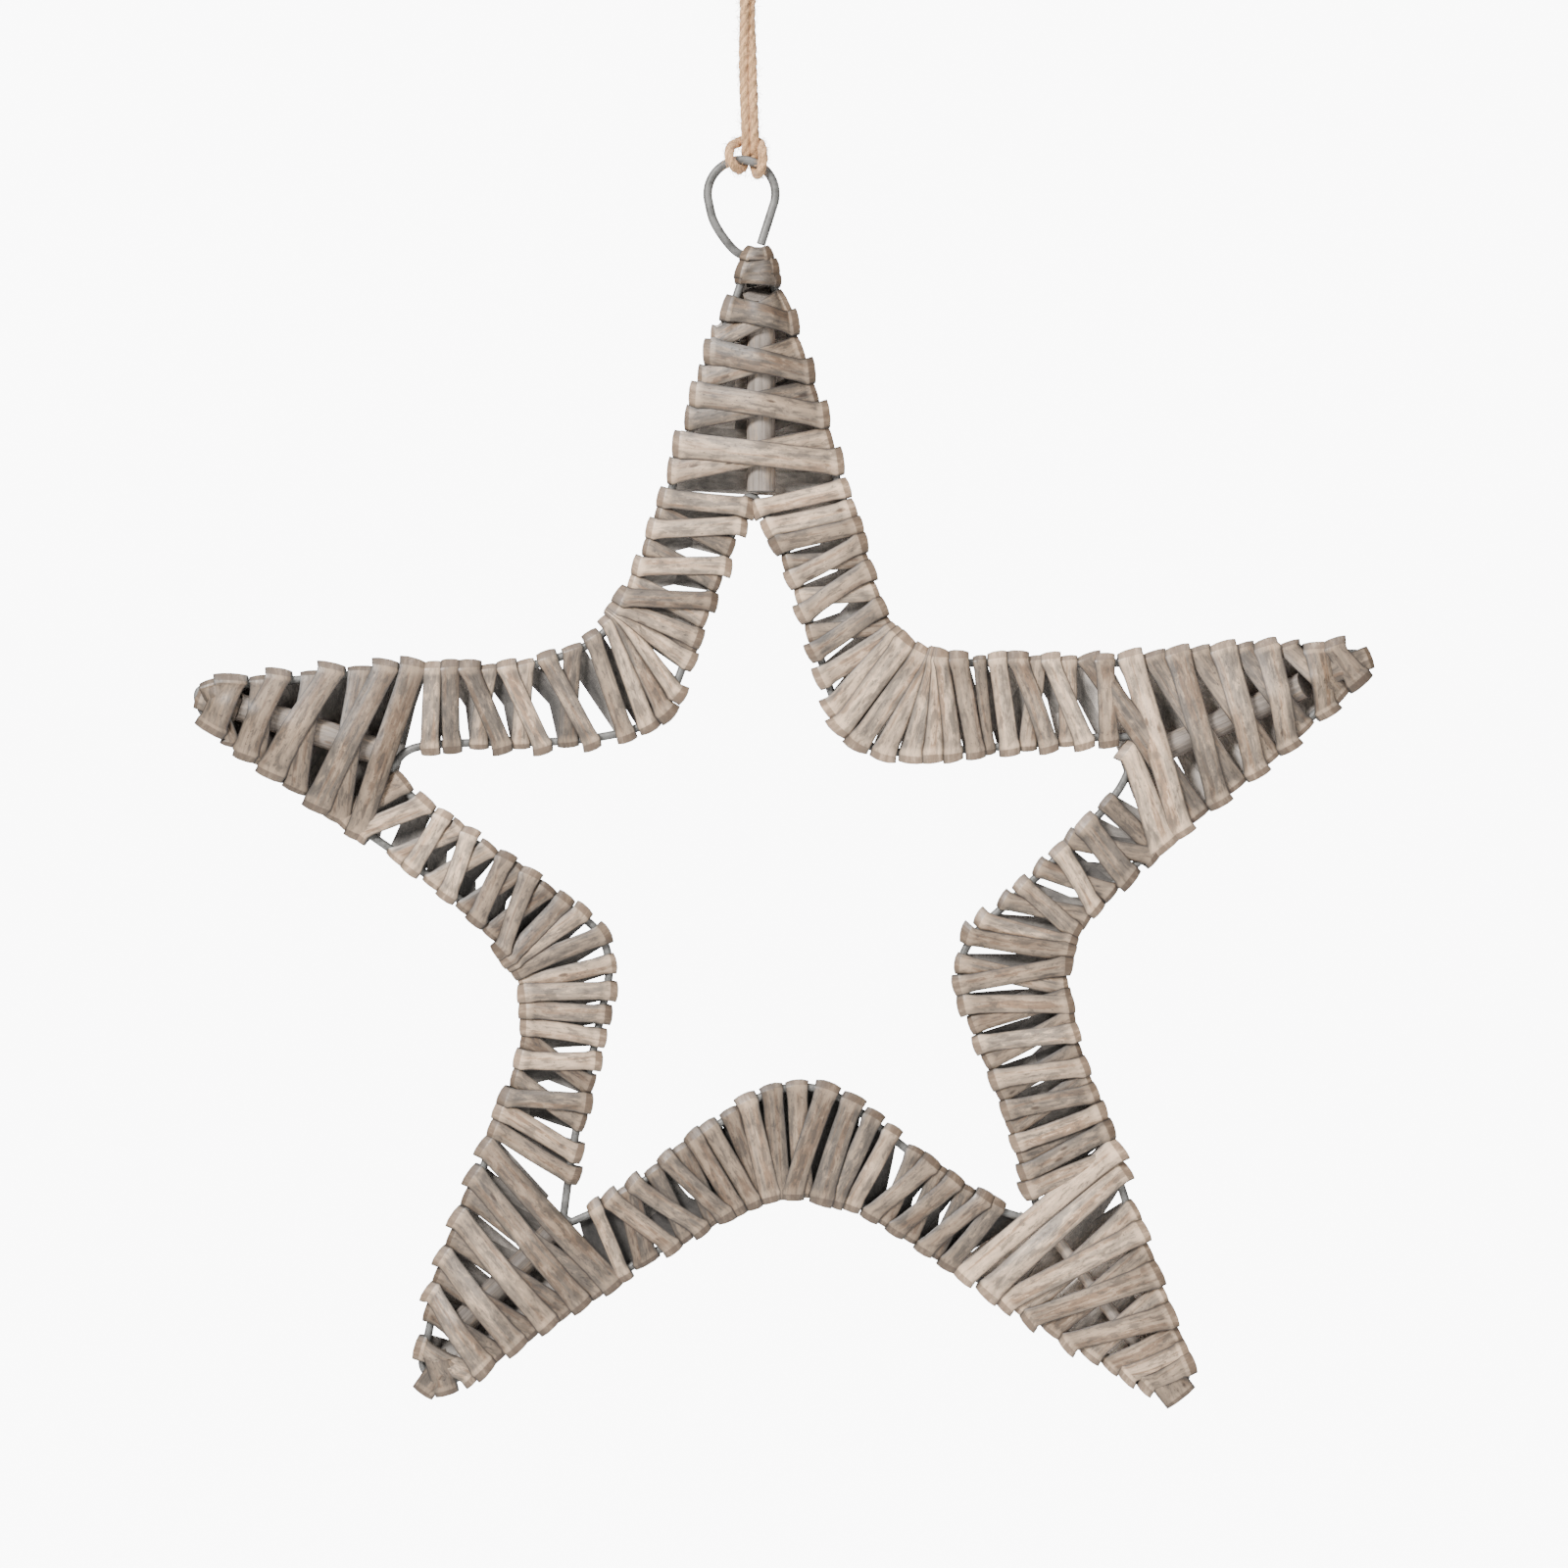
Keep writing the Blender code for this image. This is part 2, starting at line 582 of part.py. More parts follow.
def main():
    clear_scene()
    collection = bpy.data.collections.new("wicker_star")
    helpers = bpy.data.collections.new("helpers")
    for group in (collection, helpers):
        bpy.context.scene.collection.children.link(group)
    materials = {
        "over": new_material("willow_over", WILLOW_OVER, 0.62),
        "under": new_material("willow_under", WILLOW_UNDER, 0.7),
        "rod": new_material("willow_rod", WILLOW_ROD, 0.7),
        "wire": new_material("galvanised_wire", GALVANISED, 0.45, 0.8),
        "jute": new_material("jute", JUTE, 0.9),
    }

    outer = {name: wire_rail(points, -1) for name, points in OUTER_RUNS.items()}
    inner = {name: wire_rail(points, 1) for name, points in INNER_RUNS.items()}
    for name, rails in (("outer_wire", outer), ("inner_wire", inner)):
        loop = thinned(wire_loop(list(rails.values())), WIRE_SAG)
        tube(name, loop, WIRE_DIAMETER, collection, materials["wire"], closed=True, roundness=1)
    for name in OUTER_RUNS:
        build_leg(name, (outer[name], inner[name]), collection, materials)
    for name, tip in TIPS.items():
        build_tip(name, tip, outer, collection, materials)
        start, end, diameter = tip["rod"]
        build_rod(f"{name}_tip_rod", grid_point(start), grid_point(end), diameter, collection,
                  materials["rod"])
    tube("hanging_ring", ring_line(), WIRE_DIAMETER, collection, materials["wire"])
    hung = Vector((-RING_LEFT, 0, -STRING_DROP - RING_RADIUS))
    for part in collection.objects:
        part.location = hung - ring_centre()
    route = [Vector(spot) / 1000 for spot in string_route()]
    tube("jute_string", route, STRING_DIAMETER, collection, materials["jute"])
    build_knot(collection, helpers, materials["jute"])


main()
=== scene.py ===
"""Dresses the wicker star: wound strips of split willow, rods, galvanised wires, jute string and a stage."""

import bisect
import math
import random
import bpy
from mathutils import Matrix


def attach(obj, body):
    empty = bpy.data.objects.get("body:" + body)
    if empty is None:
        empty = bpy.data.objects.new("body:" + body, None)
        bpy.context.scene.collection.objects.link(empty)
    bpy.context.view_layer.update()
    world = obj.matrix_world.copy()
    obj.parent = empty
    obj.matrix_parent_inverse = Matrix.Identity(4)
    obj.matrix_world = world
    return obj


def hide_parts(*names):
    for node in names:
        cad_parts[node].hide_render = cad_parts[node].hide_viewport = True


bl_info = {
    "name": "Wicker Star",
    "version": (1, 0, 0),
    "blender": (4, 5, 0),
    "location": "3D View > Sidebar > Wicker Star",
    "description": "Makes a hanging star of split willow wound over bent wires",
    "category": "Object",
}

import bmesh
import bpy
from bpy.props import FloatProperty, FloatVectorProperty, IntProperty, PointerProperty
from mathutils import Matrix, Vector, noise

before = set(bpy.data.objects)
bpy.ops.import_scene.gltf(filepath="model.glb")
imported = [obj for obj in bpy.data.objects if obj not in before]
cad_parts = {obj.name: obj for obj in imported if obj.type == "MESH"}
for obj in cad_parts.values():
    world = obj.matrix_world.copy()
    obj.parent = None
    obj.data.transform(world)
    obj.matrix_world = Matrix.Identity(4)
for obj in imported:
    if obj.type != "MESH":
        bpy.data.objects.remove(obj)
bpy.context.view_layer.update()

# The star's middle from the hanging point; the star is 400 squares of its grid wide
STAR_SPAN = 0.400
GRID = STAR_SPAN / 400
STAR_PLACE = Vector((0.0125, 0, -0.3125))
# The wires: how far in from the bands' edges they lie, fading out at the tips, and their bends at the tips
# and forks
WIRE_INSET = 0.0012
INSET_FADE = 0.040
FORK_GAP = 0.0016
HAIRPIN_FULLNESS = 0.72

# Grid points of the outer wire, clockwise, one run from each tip to the next over a valley
OUTER_RUNS = {
    "top_right": ((-8, 209), (3, 180), (14, 147), (26, 107), (34, 85), (47, 75), (68, 74), (111, 74),
                  (152, 77), (191, 76)),
    "right": ((193, 70), (164, 42), (135, 19), (107, -6), (96, -18), (93, -31), (97, -56), (110, -93),
              (122, -130), (134, -166)),
    "bottom": ((127, -171), (96, -156), (61, -134), (33, -116), (19, -109), (4, -106), (-14, -109),
               (-38, -123), (-76, -146), (-113, -169)),
    "left": ((-123, -162), (-117, -133), (-105, -100), (-92, -67), (-88, -49), (-90, -33), (-101, -17),
             (-123, 1), (-160, 27), (-195, 54)),
    "top_left": ((-197, 64), (-166, 68), (-133, 71), (-100, 71), (-80, 75), (-65, 82), (-54, 96),
                 (-43, 124), (-30, 163), (-13, 209)),
}
# Grid points of the inner wire, from each fork to the next
INNER_RUNS = {
    "top_right": ((-13, 132), (-1, 109), (7, 84), (14, 61), (21, 48), (33, 42), (52, 42), (78, 44),
                  (101, 47), (118, 48)),
    "right": ((118, 48), (112, 32), (98, 16), (78, -3), (62, -18), (57, -31), (62, -49), (71, -70),
              (79, -93), (85, -116)),
    "bottom": ((85, -116), (65, -108), (42, -91), (23, -76), (12, -70), (1, -69), (-11, -73), (-34, -89),
               (-57, -107), (-76, -117)),
    "left": ((-76, -117), (-72, -93), (-67, -70), (-62, -47), (-59, -30), (-63, -17), (-77, -6),
             (-100, 10), (-123, 25), (-134, 37)),
    "top_left": ((-134, 37), (-125, 44), (-100, 45), (-80, 45), (-61, 47), (-48, 51), (-39, 60),
                 (-30, 83), (-19, 114), (-13, 132)),
}

# Strips on the legs. Each turn is a pair of grid lengths, where it folds over the outer wire and over the
# inner wire, measured along the run from its first tip and its first fork, and its width in grid squares
# where that is not the usual one. Turns over and under each other alternate along one strip. A lining only
# crosses behind.
LEG_STRIPS = {
    "top_right": {
        "before_valley": {
            "over": ((82, 8), (89.5, 15.5), (95.5, 22), (101.5, 34.5), (111, 46.5), (124, 60), (134, 69, 8),
                     (136.5, 79.5, 8), (139.5, 86, 7.5), (147, 94, 7.5)),
            "under": ((106.5, 29), (118, 41), (131, 54))},
        "after_valley": {
            "over": ((150.5, 103, 7.5), (151.5, 112, 8), (152.5, 119.5, 7.5), (154, 126), (160, 133.5),
                     (173, 145), (180, 158), (191, 170), (209, 178.5)),
            "under": ((167, 138, 4.5), (186, 151), (196.5, 165))},
    },
    "right": {
        "before_valley": {
            "over": ((88.5, 8, 9), (105, 35.5, 9), (120, 48), (131, 65), (136, 82), (139, 89)),
            "under": ((92, 25), (95, 42), (113, 56), (125, 72))},
        "after_valley": {
            "over": ((144, 106), (157, 113), (167, 127), (179, 140), (188.5, 151), (195.5, 162.5),
                     (202, 173), (211, 179)),
            "under": ((151, 99), (155, 120), (162, 133), (173, 145), (183, 157), (200, 168))},
    },
    "bottom": {
        "before_valley": {
            "over": ((84, 16.5), (93.5, 21.5), (105, 33), (115, 43), (122.5, 59.5), (128.5, 67.5),
                     (133, 76, 7.6), (143, 85.5, 7.6)),
            "under": ((90, 28), (100, 39), (110, 49)),
            "lining": ((86, 9.5, 7), (127, 63, 7), (138, 80, 9), (146, 91, 9))},
        "after_valley": {
            "over": ((151, 113, 7.4), (157.5, 128.5), (163.5, 134.5), (168, 146), (177.5, 159.5), (189, 169),
                     (207.5, 175.5, 5)),
            "under": ((139.5, 95.5, 7.4), (147.5, 104, 7.4), (154, 120), (172, 140), (183, 152),
                      (198.5, 163, 8.5)),
            "lining": ((147, 100, 9), (152, 110, 9), (156, 120, 8), (166, 139, 7), (203, 170, 8),
                       (214, 179, 7))},
    },
    "left": {
        "before_valley": {
            "over": ((82, 18), (88.5, 25.5), (93.5, 42.5), (107, 57), (118.5, 65), (124.5, 73), (130, 81),
                     (138.5, 100)),
            "under": ((100.5, 36), (114, 49), (133, 90))},
        "after_valley": {
            "over": ((142, 110), (144, 117), (148, 131), (161, 141), (174, 155.5), (189, 166.5),
                     (210, 174.5)),
            "under": ((154, 124), (166, 135), (180, 148), (195, 160), (217, 185, 8.5)),
            "lining": ((212, 181, 8),)},
    },
    "top_left": {
        "before_valley": {
            "over": ((78, 16.5), (84, 24), (90.5, 40.5), (103, 54), (117, 70.5), (134, 82.5), (142, 90.5)),
            "under": ((96.5, 33), (109, 47), (126, 63))},
        "after_valley": {
            "over": ((145, 98), (146, 105), (147, 116), (148.5, 124), (152.5, 137), (164, 149.5),
                     (177.5, 164), (188.5, 170.8)),
            "under": ((151, 120), (158, 131), (171, 144), (183, 156.5))},
    },
}

# How light and how warm the strips are on each leg, and how much painted light its closed pockets get
LEG_LOOKS = {
    # The bottom leg's strips are set darkest as painted shade
    "top_right": (0.55, 0.62, 0.42), "right": (0.34, 0.62, 0.28), "bottom": (0.00, 0.57, 0.0),
    "left": (0.41, 0.60, 0.12), "top_left": (0.42, 0.30, 0.42)}

# Strips and rods in the tips. Each turn is a pair of grid lengths from the tip, along the run that ends
# there and along the run that starts there. A rod runs between two grid points, from the tip inwards; its
# diameter and its colour are shares of the usual ones, and it may flare at its outer end. A lining only
# crosses behind. A cap is drawn over the tip's end: a grid point on the wire, the way it points in degrees
# and its width in grid squares. The look is how light and how warm the tip's strips are and how much
# painted light their closed pockets get.
TIPS = {
    "top": {
        "runs": ("top_left", "top_right"), "width": 8.8, "spread": 1.45, "look": (0.44, 0.42, 1.0),
        "rod": ((-9, 199.5), (-9, 130.5), 1.04, 0.90), "flare": 1.25,
        "binding": ((7.0, 8.2, 4.6), (4.0, 3.5, 7), (-1.3, -1.3, 5)),
        "caps": (),
        "lining": ((13.5, 13, 11), (25, 23, 9), (37, 36, 9), (52, 51, 9), (64, 66, 9), (78, 80, 8.5)),
        "over": ((18.4, 23.4, 8.4), (33.7, 40.5), (49, 56), (66.7, 72.5)),
        "under": ((28, 17), (42.5, 33), (57, 48), (75.7, 65)),
    },
    "right": {
        "runs": ("top_right", "right"), "width": 8.6, "spread": 1.35, "look": (0.40, 0.60, 0.8),
        "rod": ((176, 66.3), (127, 44), 0.95, 0.82), "flare": 1.0,
        "binding": ((6.2, 2.8, 8.5),),
        "caps": ((194.4, 74.1, 21, 7.8),),
        "lining": ((14, 8, 9), (24, 20, 9), (38, 36, 9), (50, 47, 6)),
        "over": ((13, 17), (29.5, 34.5), (44, 48.5), (59.5, 64.5), (75.5, 80.5)),
        "under": ((21.5, 11), (37.5, 28), (52.5, 42.5), (67.5, 57.5), (89, 73.5)),
    },
    "bottom_right": {
        "runs": ("right", "bottom"), "width": 8.0, "spread": 1.1, "look": (0.66, 0.92, 0.8),
        "rod": ((121, -162), (91, -122), 0.48, 1.2), "flare": 1.0,
        "binding": ((2.5, 5.2, 7),),
        "caps": ((131.3, -173.2, 308, 12.0),),
        "lining": ((12, 12, 8), (38, 34, 8)),
        "over": ((6, 12), (20, 34.5), (34.7, 50), (49.7, 60.5), (70.5, 67.5), (78, 77)),
        "under": ((13, 19), (28, 27.5), (42.7, 42.5), (57, 54.5)),
    },
    "bottom_left": {
        "runs": ("bottom", "left"), "width": 8.2, "spread": 1.0, "look": (0.12, 0.56, 0.45),
        # The rod's colour share of 0.5 here is painted shade, where it lies in the strips' shadow
        "rod": ((-115, -155), (-79, -119), 0.95, 0.5), "flare": 1.0,
        "binding": (),
        "caps": ((-122.0, -171.5, 235, 8.0), (-115.2, -171.2, 286, 8.0)),
        "lining": (),
        "over": ((6, 4), (11.5, 22), (24.5, 35), (37.5, 49), (50.5, 64), (63, 74.5, 8)),
        "under": ((17.5, 17), (31, 29.5), (44.5, 43), (58.5, 58)),
    },
    "left": {
        "runs": ("left", "top_left"), "width": 8.8, "spread": 1.5, "look": (-0.28, 0.74, 0.6),
        "rod": ((-188, 59), (-138, 43), 1.0, 0.92), "flare": 1.0,
        "binding": (),
        "caps": ((-196.9, 61.1, 160, 8.8),),
        "lining": ((13, 17, 9), (26, 33, 9), (40, 47, 9), (55, 60, 9), (66, 70, 9)),
        "over": ((2.5, 9.5, 10.5), (16.5, 25.5), (27.5, 43, 9.5), (46.5, 61.5), (63, 71)),
        "under": ((9.5, 3.5, 7), (20, 21), (37, 38), (54.5, 54)),
    },
}

# The random seeds of a leg's and of a tip's widths, winding and linings, and of the tips' bindings
LEG_SEEDS = (40, 100, 70)
TIP_SEEDS = (60, 300, 90)
BINDING_SEEDS = (80, 500)
PIECE_SEEDS = 20

# How strips lie: their rows' points from edge to edge, and a fold's profile from the front face round to its
# outermost line, which is how far out and how far forwards it stands as shares of the fold's size, the way it
# faces in degrees from outwards, and its painted shading: 1 a painted highlight, 2 painted shade on the facet
ACROSS = (-1.0, -0.9, -0.45, 0.0, 0.45, 0.9, 1.0)
HALF_FOLD = ((0.0, 1.0, 90, 1.0), (0.24, 0.975, 77, 1.0), (0.30, 0.945, 68, 2.0), (0.96, 0.55, 28, 2.0))
FOLD_PROFILE = (*((out, -forward, -facing, fold_shading) for out, forward, facing, fold_shading in HALF_FOLD),
                (1.0, 0.0, 0, 2.0), *HALF_FOLD[::-1])

# How light each layer is painted, the under layer darker as painted shade under the over layer, and the place
# of a strip's grain
LAYER_PAINTED_LIGHTNESS = {"over": 1.0, "under": 0.78}
MILLIMETRES = 1000
SEED_SHIFT = 13.7

# A turn's width: how far bunched turns are pinched, how much widths play and the most a slant adds
PINCHED_SHARE = 0.6
GAP_REACH = 2.2
GAP_ALLOWANCE = 0.002
WIDTH_PLAY = (1.02, 1.14)
WIDEST_SLANT = 1.35

# Levels: the play under a layer, and how high a turn lies on the one before it
UNDER_LEVEL = 0.00012
LAP_FULLNESS = 1.05
MOST_LAP = 0.0021

# Folds: how square they are creased on a leg and on a tip, and the most a strip leans in one
LEG_CREASE = 0.42
TIP_CREASE = 0.45
MOST_LEAN = 0.6
LEAST_OUTWARD = 0.5

# Passes between folds: their steps, their give, their waist and how the body is crowned across
LEG_STEPS = 9
TIP_STEPS = 16
PASS_GIVE = 0.00035
WAIST_SHARE = 0.89
CROWN_POWER = 3.2
STRIP_SHARP_ANGLE = 29

# Passes over a rod: how far past its ends they still rise, and over what length they come down
CROWN_OVERRUN = 0.001
CROWN_RUN_IN = 0.014
LEAST_CROWN = 0.0001

# Tones: how they vary, how much lighter a pass is painted in its middle than near its folds, as painted light
# and shade, how far the painted highlight on its shoulders reaches, and the painted fold shading of flat rows
TONE_SPREAD = 0.46
WARMTH_SPREAD = 0.45
MIDDLE_GLOW = 0.30
GLOW_DIP = 0.6
SHOULDER_HIGHLIGHT_REACH = 0.0008
FLAT_FOLD_SHADING = 0.2

# Tucked ends: how far towards the other wire they reach and how far they sink
TAIL_SHARE = 0.45
TAIL_SINK = 0.0006
TAIL_STEPS = 4

# Caps over the tips' ends: their reach in front and behind, their lift, their tone and the painted fold
# shading of their back
CAP_FRONT = 0.013
CAP_BACK = 0.011
CAP_LIFT = 0.0016
CAP_LIFT_FADE = 0.007
CAP_STEPS = 8
CAP_LEVEL_STEP = 0.0004
CAP_TONE_DROP = 0.45
CAP_TONE_STEP = 0.15
CAP_BACK_FOLD_SHADING = 0.3

# Bindings: their gap over the other strips and their tone, and those of the one on the ring's end
BINDING_GAP = 0.0005
BINDING_TONE_DROP = 0.15
RING_BINDING_GAP = 0.0001
RING_BINDING_SINK = 0.0004
RING_BINDING_DROPS = (0.85, 0.4)

# The rods: their steps, how their outer end slants and flares, a cut end's rings and how crooked they are
ROD_SIDES = 32
ROD_STEPS = 48
ROD_SLANT = 0.5
ROD_SLANTED_STEPS = 4
ROD_FLARE_REACH = 0.012
ROD_END_RINGS = (0.93, 0.6, 0.3)
ROD_TAPER = 0.05
ROD_WOBBLE = 0.045
ROD_SHARP_ANGLE = 40
ROD_SEED_SHIFT = 21.3

# The ring's place from the top of the star, the round wires, and how much fuller than their sizes the ring's
# wire and the string are drawn
RING_RADIUS = 0.0114
RING_CENTRE_RIGHT = -0.0051
RING_ABOVE_STAR = 0.0103
RING_END_ABOVE_STAR = 0.0047
RING_BEHIND_GAP = 0.0003
SHANK_LEFT = 0.0015
RING_FULLNESS = 1.08
WIRE_SIDES = 18
WIRE_SHARP_ANGLE = 50
STRING_FULLNESS = 1.13

# The jute string's route in millimetres from the hanging point, its steps, and its knot, which lies over it
STRING_ROUTE = (
    (-1.6, 0.0, 4.0), (-2.7, 0.0, -0.5), (-2.5, -0.4, -8.0), (-2.1, -0.9, -20.0), (-2.4, -0.4, -33.0),
    (-2.2, 0.0, -46.0), (-1.7, -0.3, -59.0), (-1.6, 1.2, -65.5), (-1.7, 3.2, -69.4), (-2.5, 2.7, -72.0),
    (-3.9, 0.2, -73.6), (-5.7, -2.8, -72.7), (-7.0, -3.1, -70.4), (-7.2, -1.9, -67.8), (-6.3, 0.6, -65.5),
    (-3.9, 2.9, -63.9), (-0.4, 3.4, -63.0), (2.3, 2.9, -63.7), (3.6, 0.6, -65.7), (4.1, -1.9, -68.6),
    (4.0, -3.1, -71.9), (3.3, -2.8, -74.4), (2.3, 0.2, -75.3), (1.5, 2.7, -73.2), (1.2, 3.2, -69.6),
    (1.2, 1.2, -65.5), (1.1, -0.3, -59.0), (0.7, 0.0, -46.0), (0.3, 0.4, -33.0), (-0.1, 1.1, -20.0),
    (1.0, 0.5, -8.0), (2.3, 0.0, -0.5), (1.6, 0.0, 4.0))
STRING_STEP = 0.00035
STRING_SIDES = 26
FIBRE_LIGHTNESS = 1.25
KNOT_STEPS = 60
KNOT_START_ANGLE = -0.6
KNOT_BULGE = 0.0004
KNOT_WAVE = 0.0009
KNOT_TURNS = 2.1
KNOT_RADIUS = 0.0027
KNOT_FLATNESS = 0.82
KNOT_BOTTOM = 0.0060
KNOT_RISE = 0.0062
KNOT_END_STEPS = 12
KNOT_END_START = (0.0007, 0.0055)
KNOT_END_LENGTH = 0.0180

# The stage: lights by name, place, size and power, the frame the camera takes in and the floor's sweep
LIGHTS = (("key", (-0.95, -1.35, 0.65), 0.5, 66), ("fill", (1.1, -1.8, -0.1), 1.2, 15),
          ("top", (0.1, -0.6, 1.2), 0.6, 12))
LIGHT_AIM = Vector((0.01, 0, -0.28))
WORLD_STRENGTH = 0.17
BACKDROP_GLOW = 9.0
FRAME_WIDTH = 0.528
FRAME_MIDDLE = Vector((0.0112, 0, -0.2805))
FLOOR_REACH = 6.0
SWEEP_START = 2.0
SWEEP_RADIUS = 1.2
SWEEP_STEPS = 12
BACKDROP_TOP = 5.0


def length_property(name, description, default):
    return FloatProperty(name=name, description=description, default=default, unit="LENGTH")


def colour_property(name, description, default):
    return FloatVectorProperty(name=name, description=description, default=default, size=3, min=0, max=1,
                               subtype="COLOR")


class WickerStarSizes(bpy.types.PropertyGroup):
    strip_width: length_property("Strip width", "Width of a split willow strip", 0.0064)
    strip_thickness: length_property("Strip thickness", "Thickness at a strip's middle", 0.00095)
    strip_edge: FloatProperty(
        name="Edge share", description="Thickness of a strip's edge as a share of its middle",
        default=0.42, min=0.1, max=1.0)
    binding_width: length_property("Binding width", "Width of the strips that bind the tips", 0.0054)
    wire_diameter: length_property("Wire diameter", "Diameter of the frame's and the ring's wire", 0.0028)
    rod_diameter: length_property("Rod diameter", "Diameter of the willow rods in the tips", 0.0094)
    string_diameter: length_property("String diameter", "Diameter of the jute string", 0.0030)
    string_lay: length_property("String lay", "Length in which the string's yarns turn once", 0.0125)
    string_yarns: IntProperty(
        name="String yarns", description="How many yarns the string is laid from", default=3, min=2, max=4)
    floor_below: length_property("Floor below", "How far the floor lies below the hanging point", 0.95)


class WickerStarColours(bpy.types.PropertyGroup):
    willow_pale: colour_property("Pale willow", "Colour of the willow's pale wood", (0.56, 0.40, 0.27))
    willow_brown: colour_property("Brown willow", "Colour of the willow's warm streaks", (0.27, 0.155, 0.085))
    willow_grey: colour_property("Grey willow", "Colour of the grey wash", (0.22, 0.173, 0.132))
    willow_shade: colour_property("Split side", "Colour of the strips' split side", (0.25, 0.224, 0.199))
    willow_rod: colour_property("Round willow", "Colour of the rods", (0.32, 0.271, 0.232))
    zinc: colour_property("Zinc", "Colour of the galvanised wire", (0.185, 0.180, 0.170))
    jute: colour_property("Jute", "Colour of the string", (0.60, 0.35, 0.17))
    # Painted shade between the string's yarns
    jute_groove_shade: colour_property("Jute grooves", "Colour between the string's yarns", (0.30, 0.17, 0.09))
    backdrop: colour_property("Backdrop", "Colour of the floor and backdrop", (0.92, 0.92, 0.92))


def sizes():
    return bpy.context.scene.wicker_star_sizes


def colours():
    return bpy.context.scene.wicker_star_colours


def clamped(value, low=0.0, high=1.0):
    return min(max(value, low), high)


# Wires

def smooth_line(points, steps):
    """Points of a Catmull-Rom curve through the given ones."""
    line = [2 * points[0] - points[1], *points, 2 * points[-1] - points[-2]]
    smooth = []
    for before, start, end, after in zip(line, line[1:], line[2:], line[3:]):
        for step in range(steps):
            t = step / steps
            pull = (end - before) * t + (2 * before - 5 * start + 4 * end - after) * t * t
            smooth.append((2 * start + pull + (3 * start - before - 3 * end + after) * t ** 3) / 2)
    smooth.append(points[-1])
    return smooth


class Rail:
    """A wire's centre line, measured along its length; side is the outward normal's turn from it."""

    def __init__(self, points, side):
        self.points = points
        self.side = side
        self.marks = [0.0]
        for a, b in zip(points, points[1:]):
            self.marks.append(self.marks[-1] + (b - a).length)
        self.length = self.marks[-1]

    def at(self, distance):
        """The point, direction and outward normal at a distance; it runs on straight past its ends."""
        place = min(max(bisect.bisect_left(self.marks, distance) - 1, 0), len(self.marks) - 2)
        a, b = self.points[place], self.points[place + 1]
        along = (b - a).normalized()
        point = a + along * (distance - self.marks[place])
        return point, along, Vector((along.z, 0, -along.x)) * self.side

    def reversed(self):
        return Rail(self.points[::-1], -self.side)


def grid_point(spot):
    return Vector((spot[0] * GRID, 0, spot[1] * GRID)) + STAR_PLACE


def wire_rail(grid_points, side):
    """The wire of one run: the band's edge through the grid points, moved in by the inset off its tips."""
    edge = Rail(smooth_line([grid_point(spot) for spot in grid_points], steps=24), side)
    moved = []
    for distance in edge.marks:
        point, _, outward = edge.at(distance)
        fade = min(1, distance / INSET_FADE, (edge.length - distance) / INSET_FADE)
        moved.append(point - outward * WIRE_INSET * fade)
    return Rail(moved, side)


def star_rails():
    """The outer and the inner wire's rails by run."""
    outer = {name: wire_rail(points, -1) for name, points in OUTER_RUNS.items()}
    inner = {name: wire_rail(points, 1) for name, points in INNER_RUNS.items()}
    return outer, inner


def hairpin(end, end_along, start, start_along, steps=12):
    """The inner points of a round bend from one run's end to the next run's start."""
    turn = end_along.angle(start_along)
    handle = (start - end).length * 2 / 3 * math.tan(turn / 4) / math.sin(turn / 2) * HAIRPIN_FULLNESS
    first, second = end + end_along * handle, start - start_along * handle
    bend = []
    for step in range(1, steps):
        t = step / steps
        u = 1 - t
        bend.append(end * u ** 3 + first * 3 * u * u * t + second * 3 * u * t * t + start * t ** 3)
    return bend


def wire_loop(rails):
    """The closed centre line of a wire: its runs, cut back where they meet and joined by round bends."""
    radius = (sizes().wire_diameter + FORK_GAP) / 2
    cuts = []
    for this, after in zip(rails, rails[1:] + rails[:1]):
        end, along, _ = this.at(this.length)
        start, onward, _ = after.at(0)
        half_turn = along.angle(onward) / 2
        missing = 2 * radius * math.sin(half_turn) - (start - end).length
        cuts.append(max(0.0, missing / 2 / math.cos(half_turn)))
    loop = []
    for index, rail in enumerate(rails):
        first, last = cuts[index - 1], rail.length - cuts[index]
        loop.append(rail.at(first)[0])
        loop += [point for point, mark in zip(rail.points, rail.marks) if first < mark < last]
        loop.append(rail.at(last)[0])
        after = rails[(index + 1) % len(rails)]
        end, along, _ = rail.at(last)
        start, onward, _ = after.at(cuts[index])
        loop += hairpin(end, along, start, onward)
    return loop


def top_of_star():
    return (grid_point(OUTER_RUNS["top_left"][-1]) + grid_point(OUTER_RUNS["top_right"][0])) / 2


def ring_line():
    """The ring's centre line from its free cut end, over the top and down behind the top tip's wire."""
    top = top_of_star()
    centre = top + Vector((RING_CENTRE_RIGHT, 0, RING_ABOVE_STAR + RING_RADIUS))
    bends = [(degrees, 1.0) for degrees in range(-22, 206, 12)]
    line = [top + Vector((sizes().wire_diameter / 2, 0, RING_END_ABOVE_STAR))]
    for degrees, share in (*bends, (223, 1.14), (247, 1.38), (264, 1.68)):
        angle = math.radians(degrees)
        line.append(centre + RING_RADIUS * share * Vector((math.cos(angle), 0, math.sin(angle))))
    behind = sizes().wire_diameter + RING_BEHIND_GAP
    line[-2].y = behind * 0.25
    line[-1].y = behind * 0.75
    for left, up in ((1.7, 0.0002), (1.0, -0.0030), (1.0, -0.009)):
        line.append(top + Vector((-left * SHANK_LEFT, behind, up)))
    return smooth_line(line, steps=8)


# Node trees

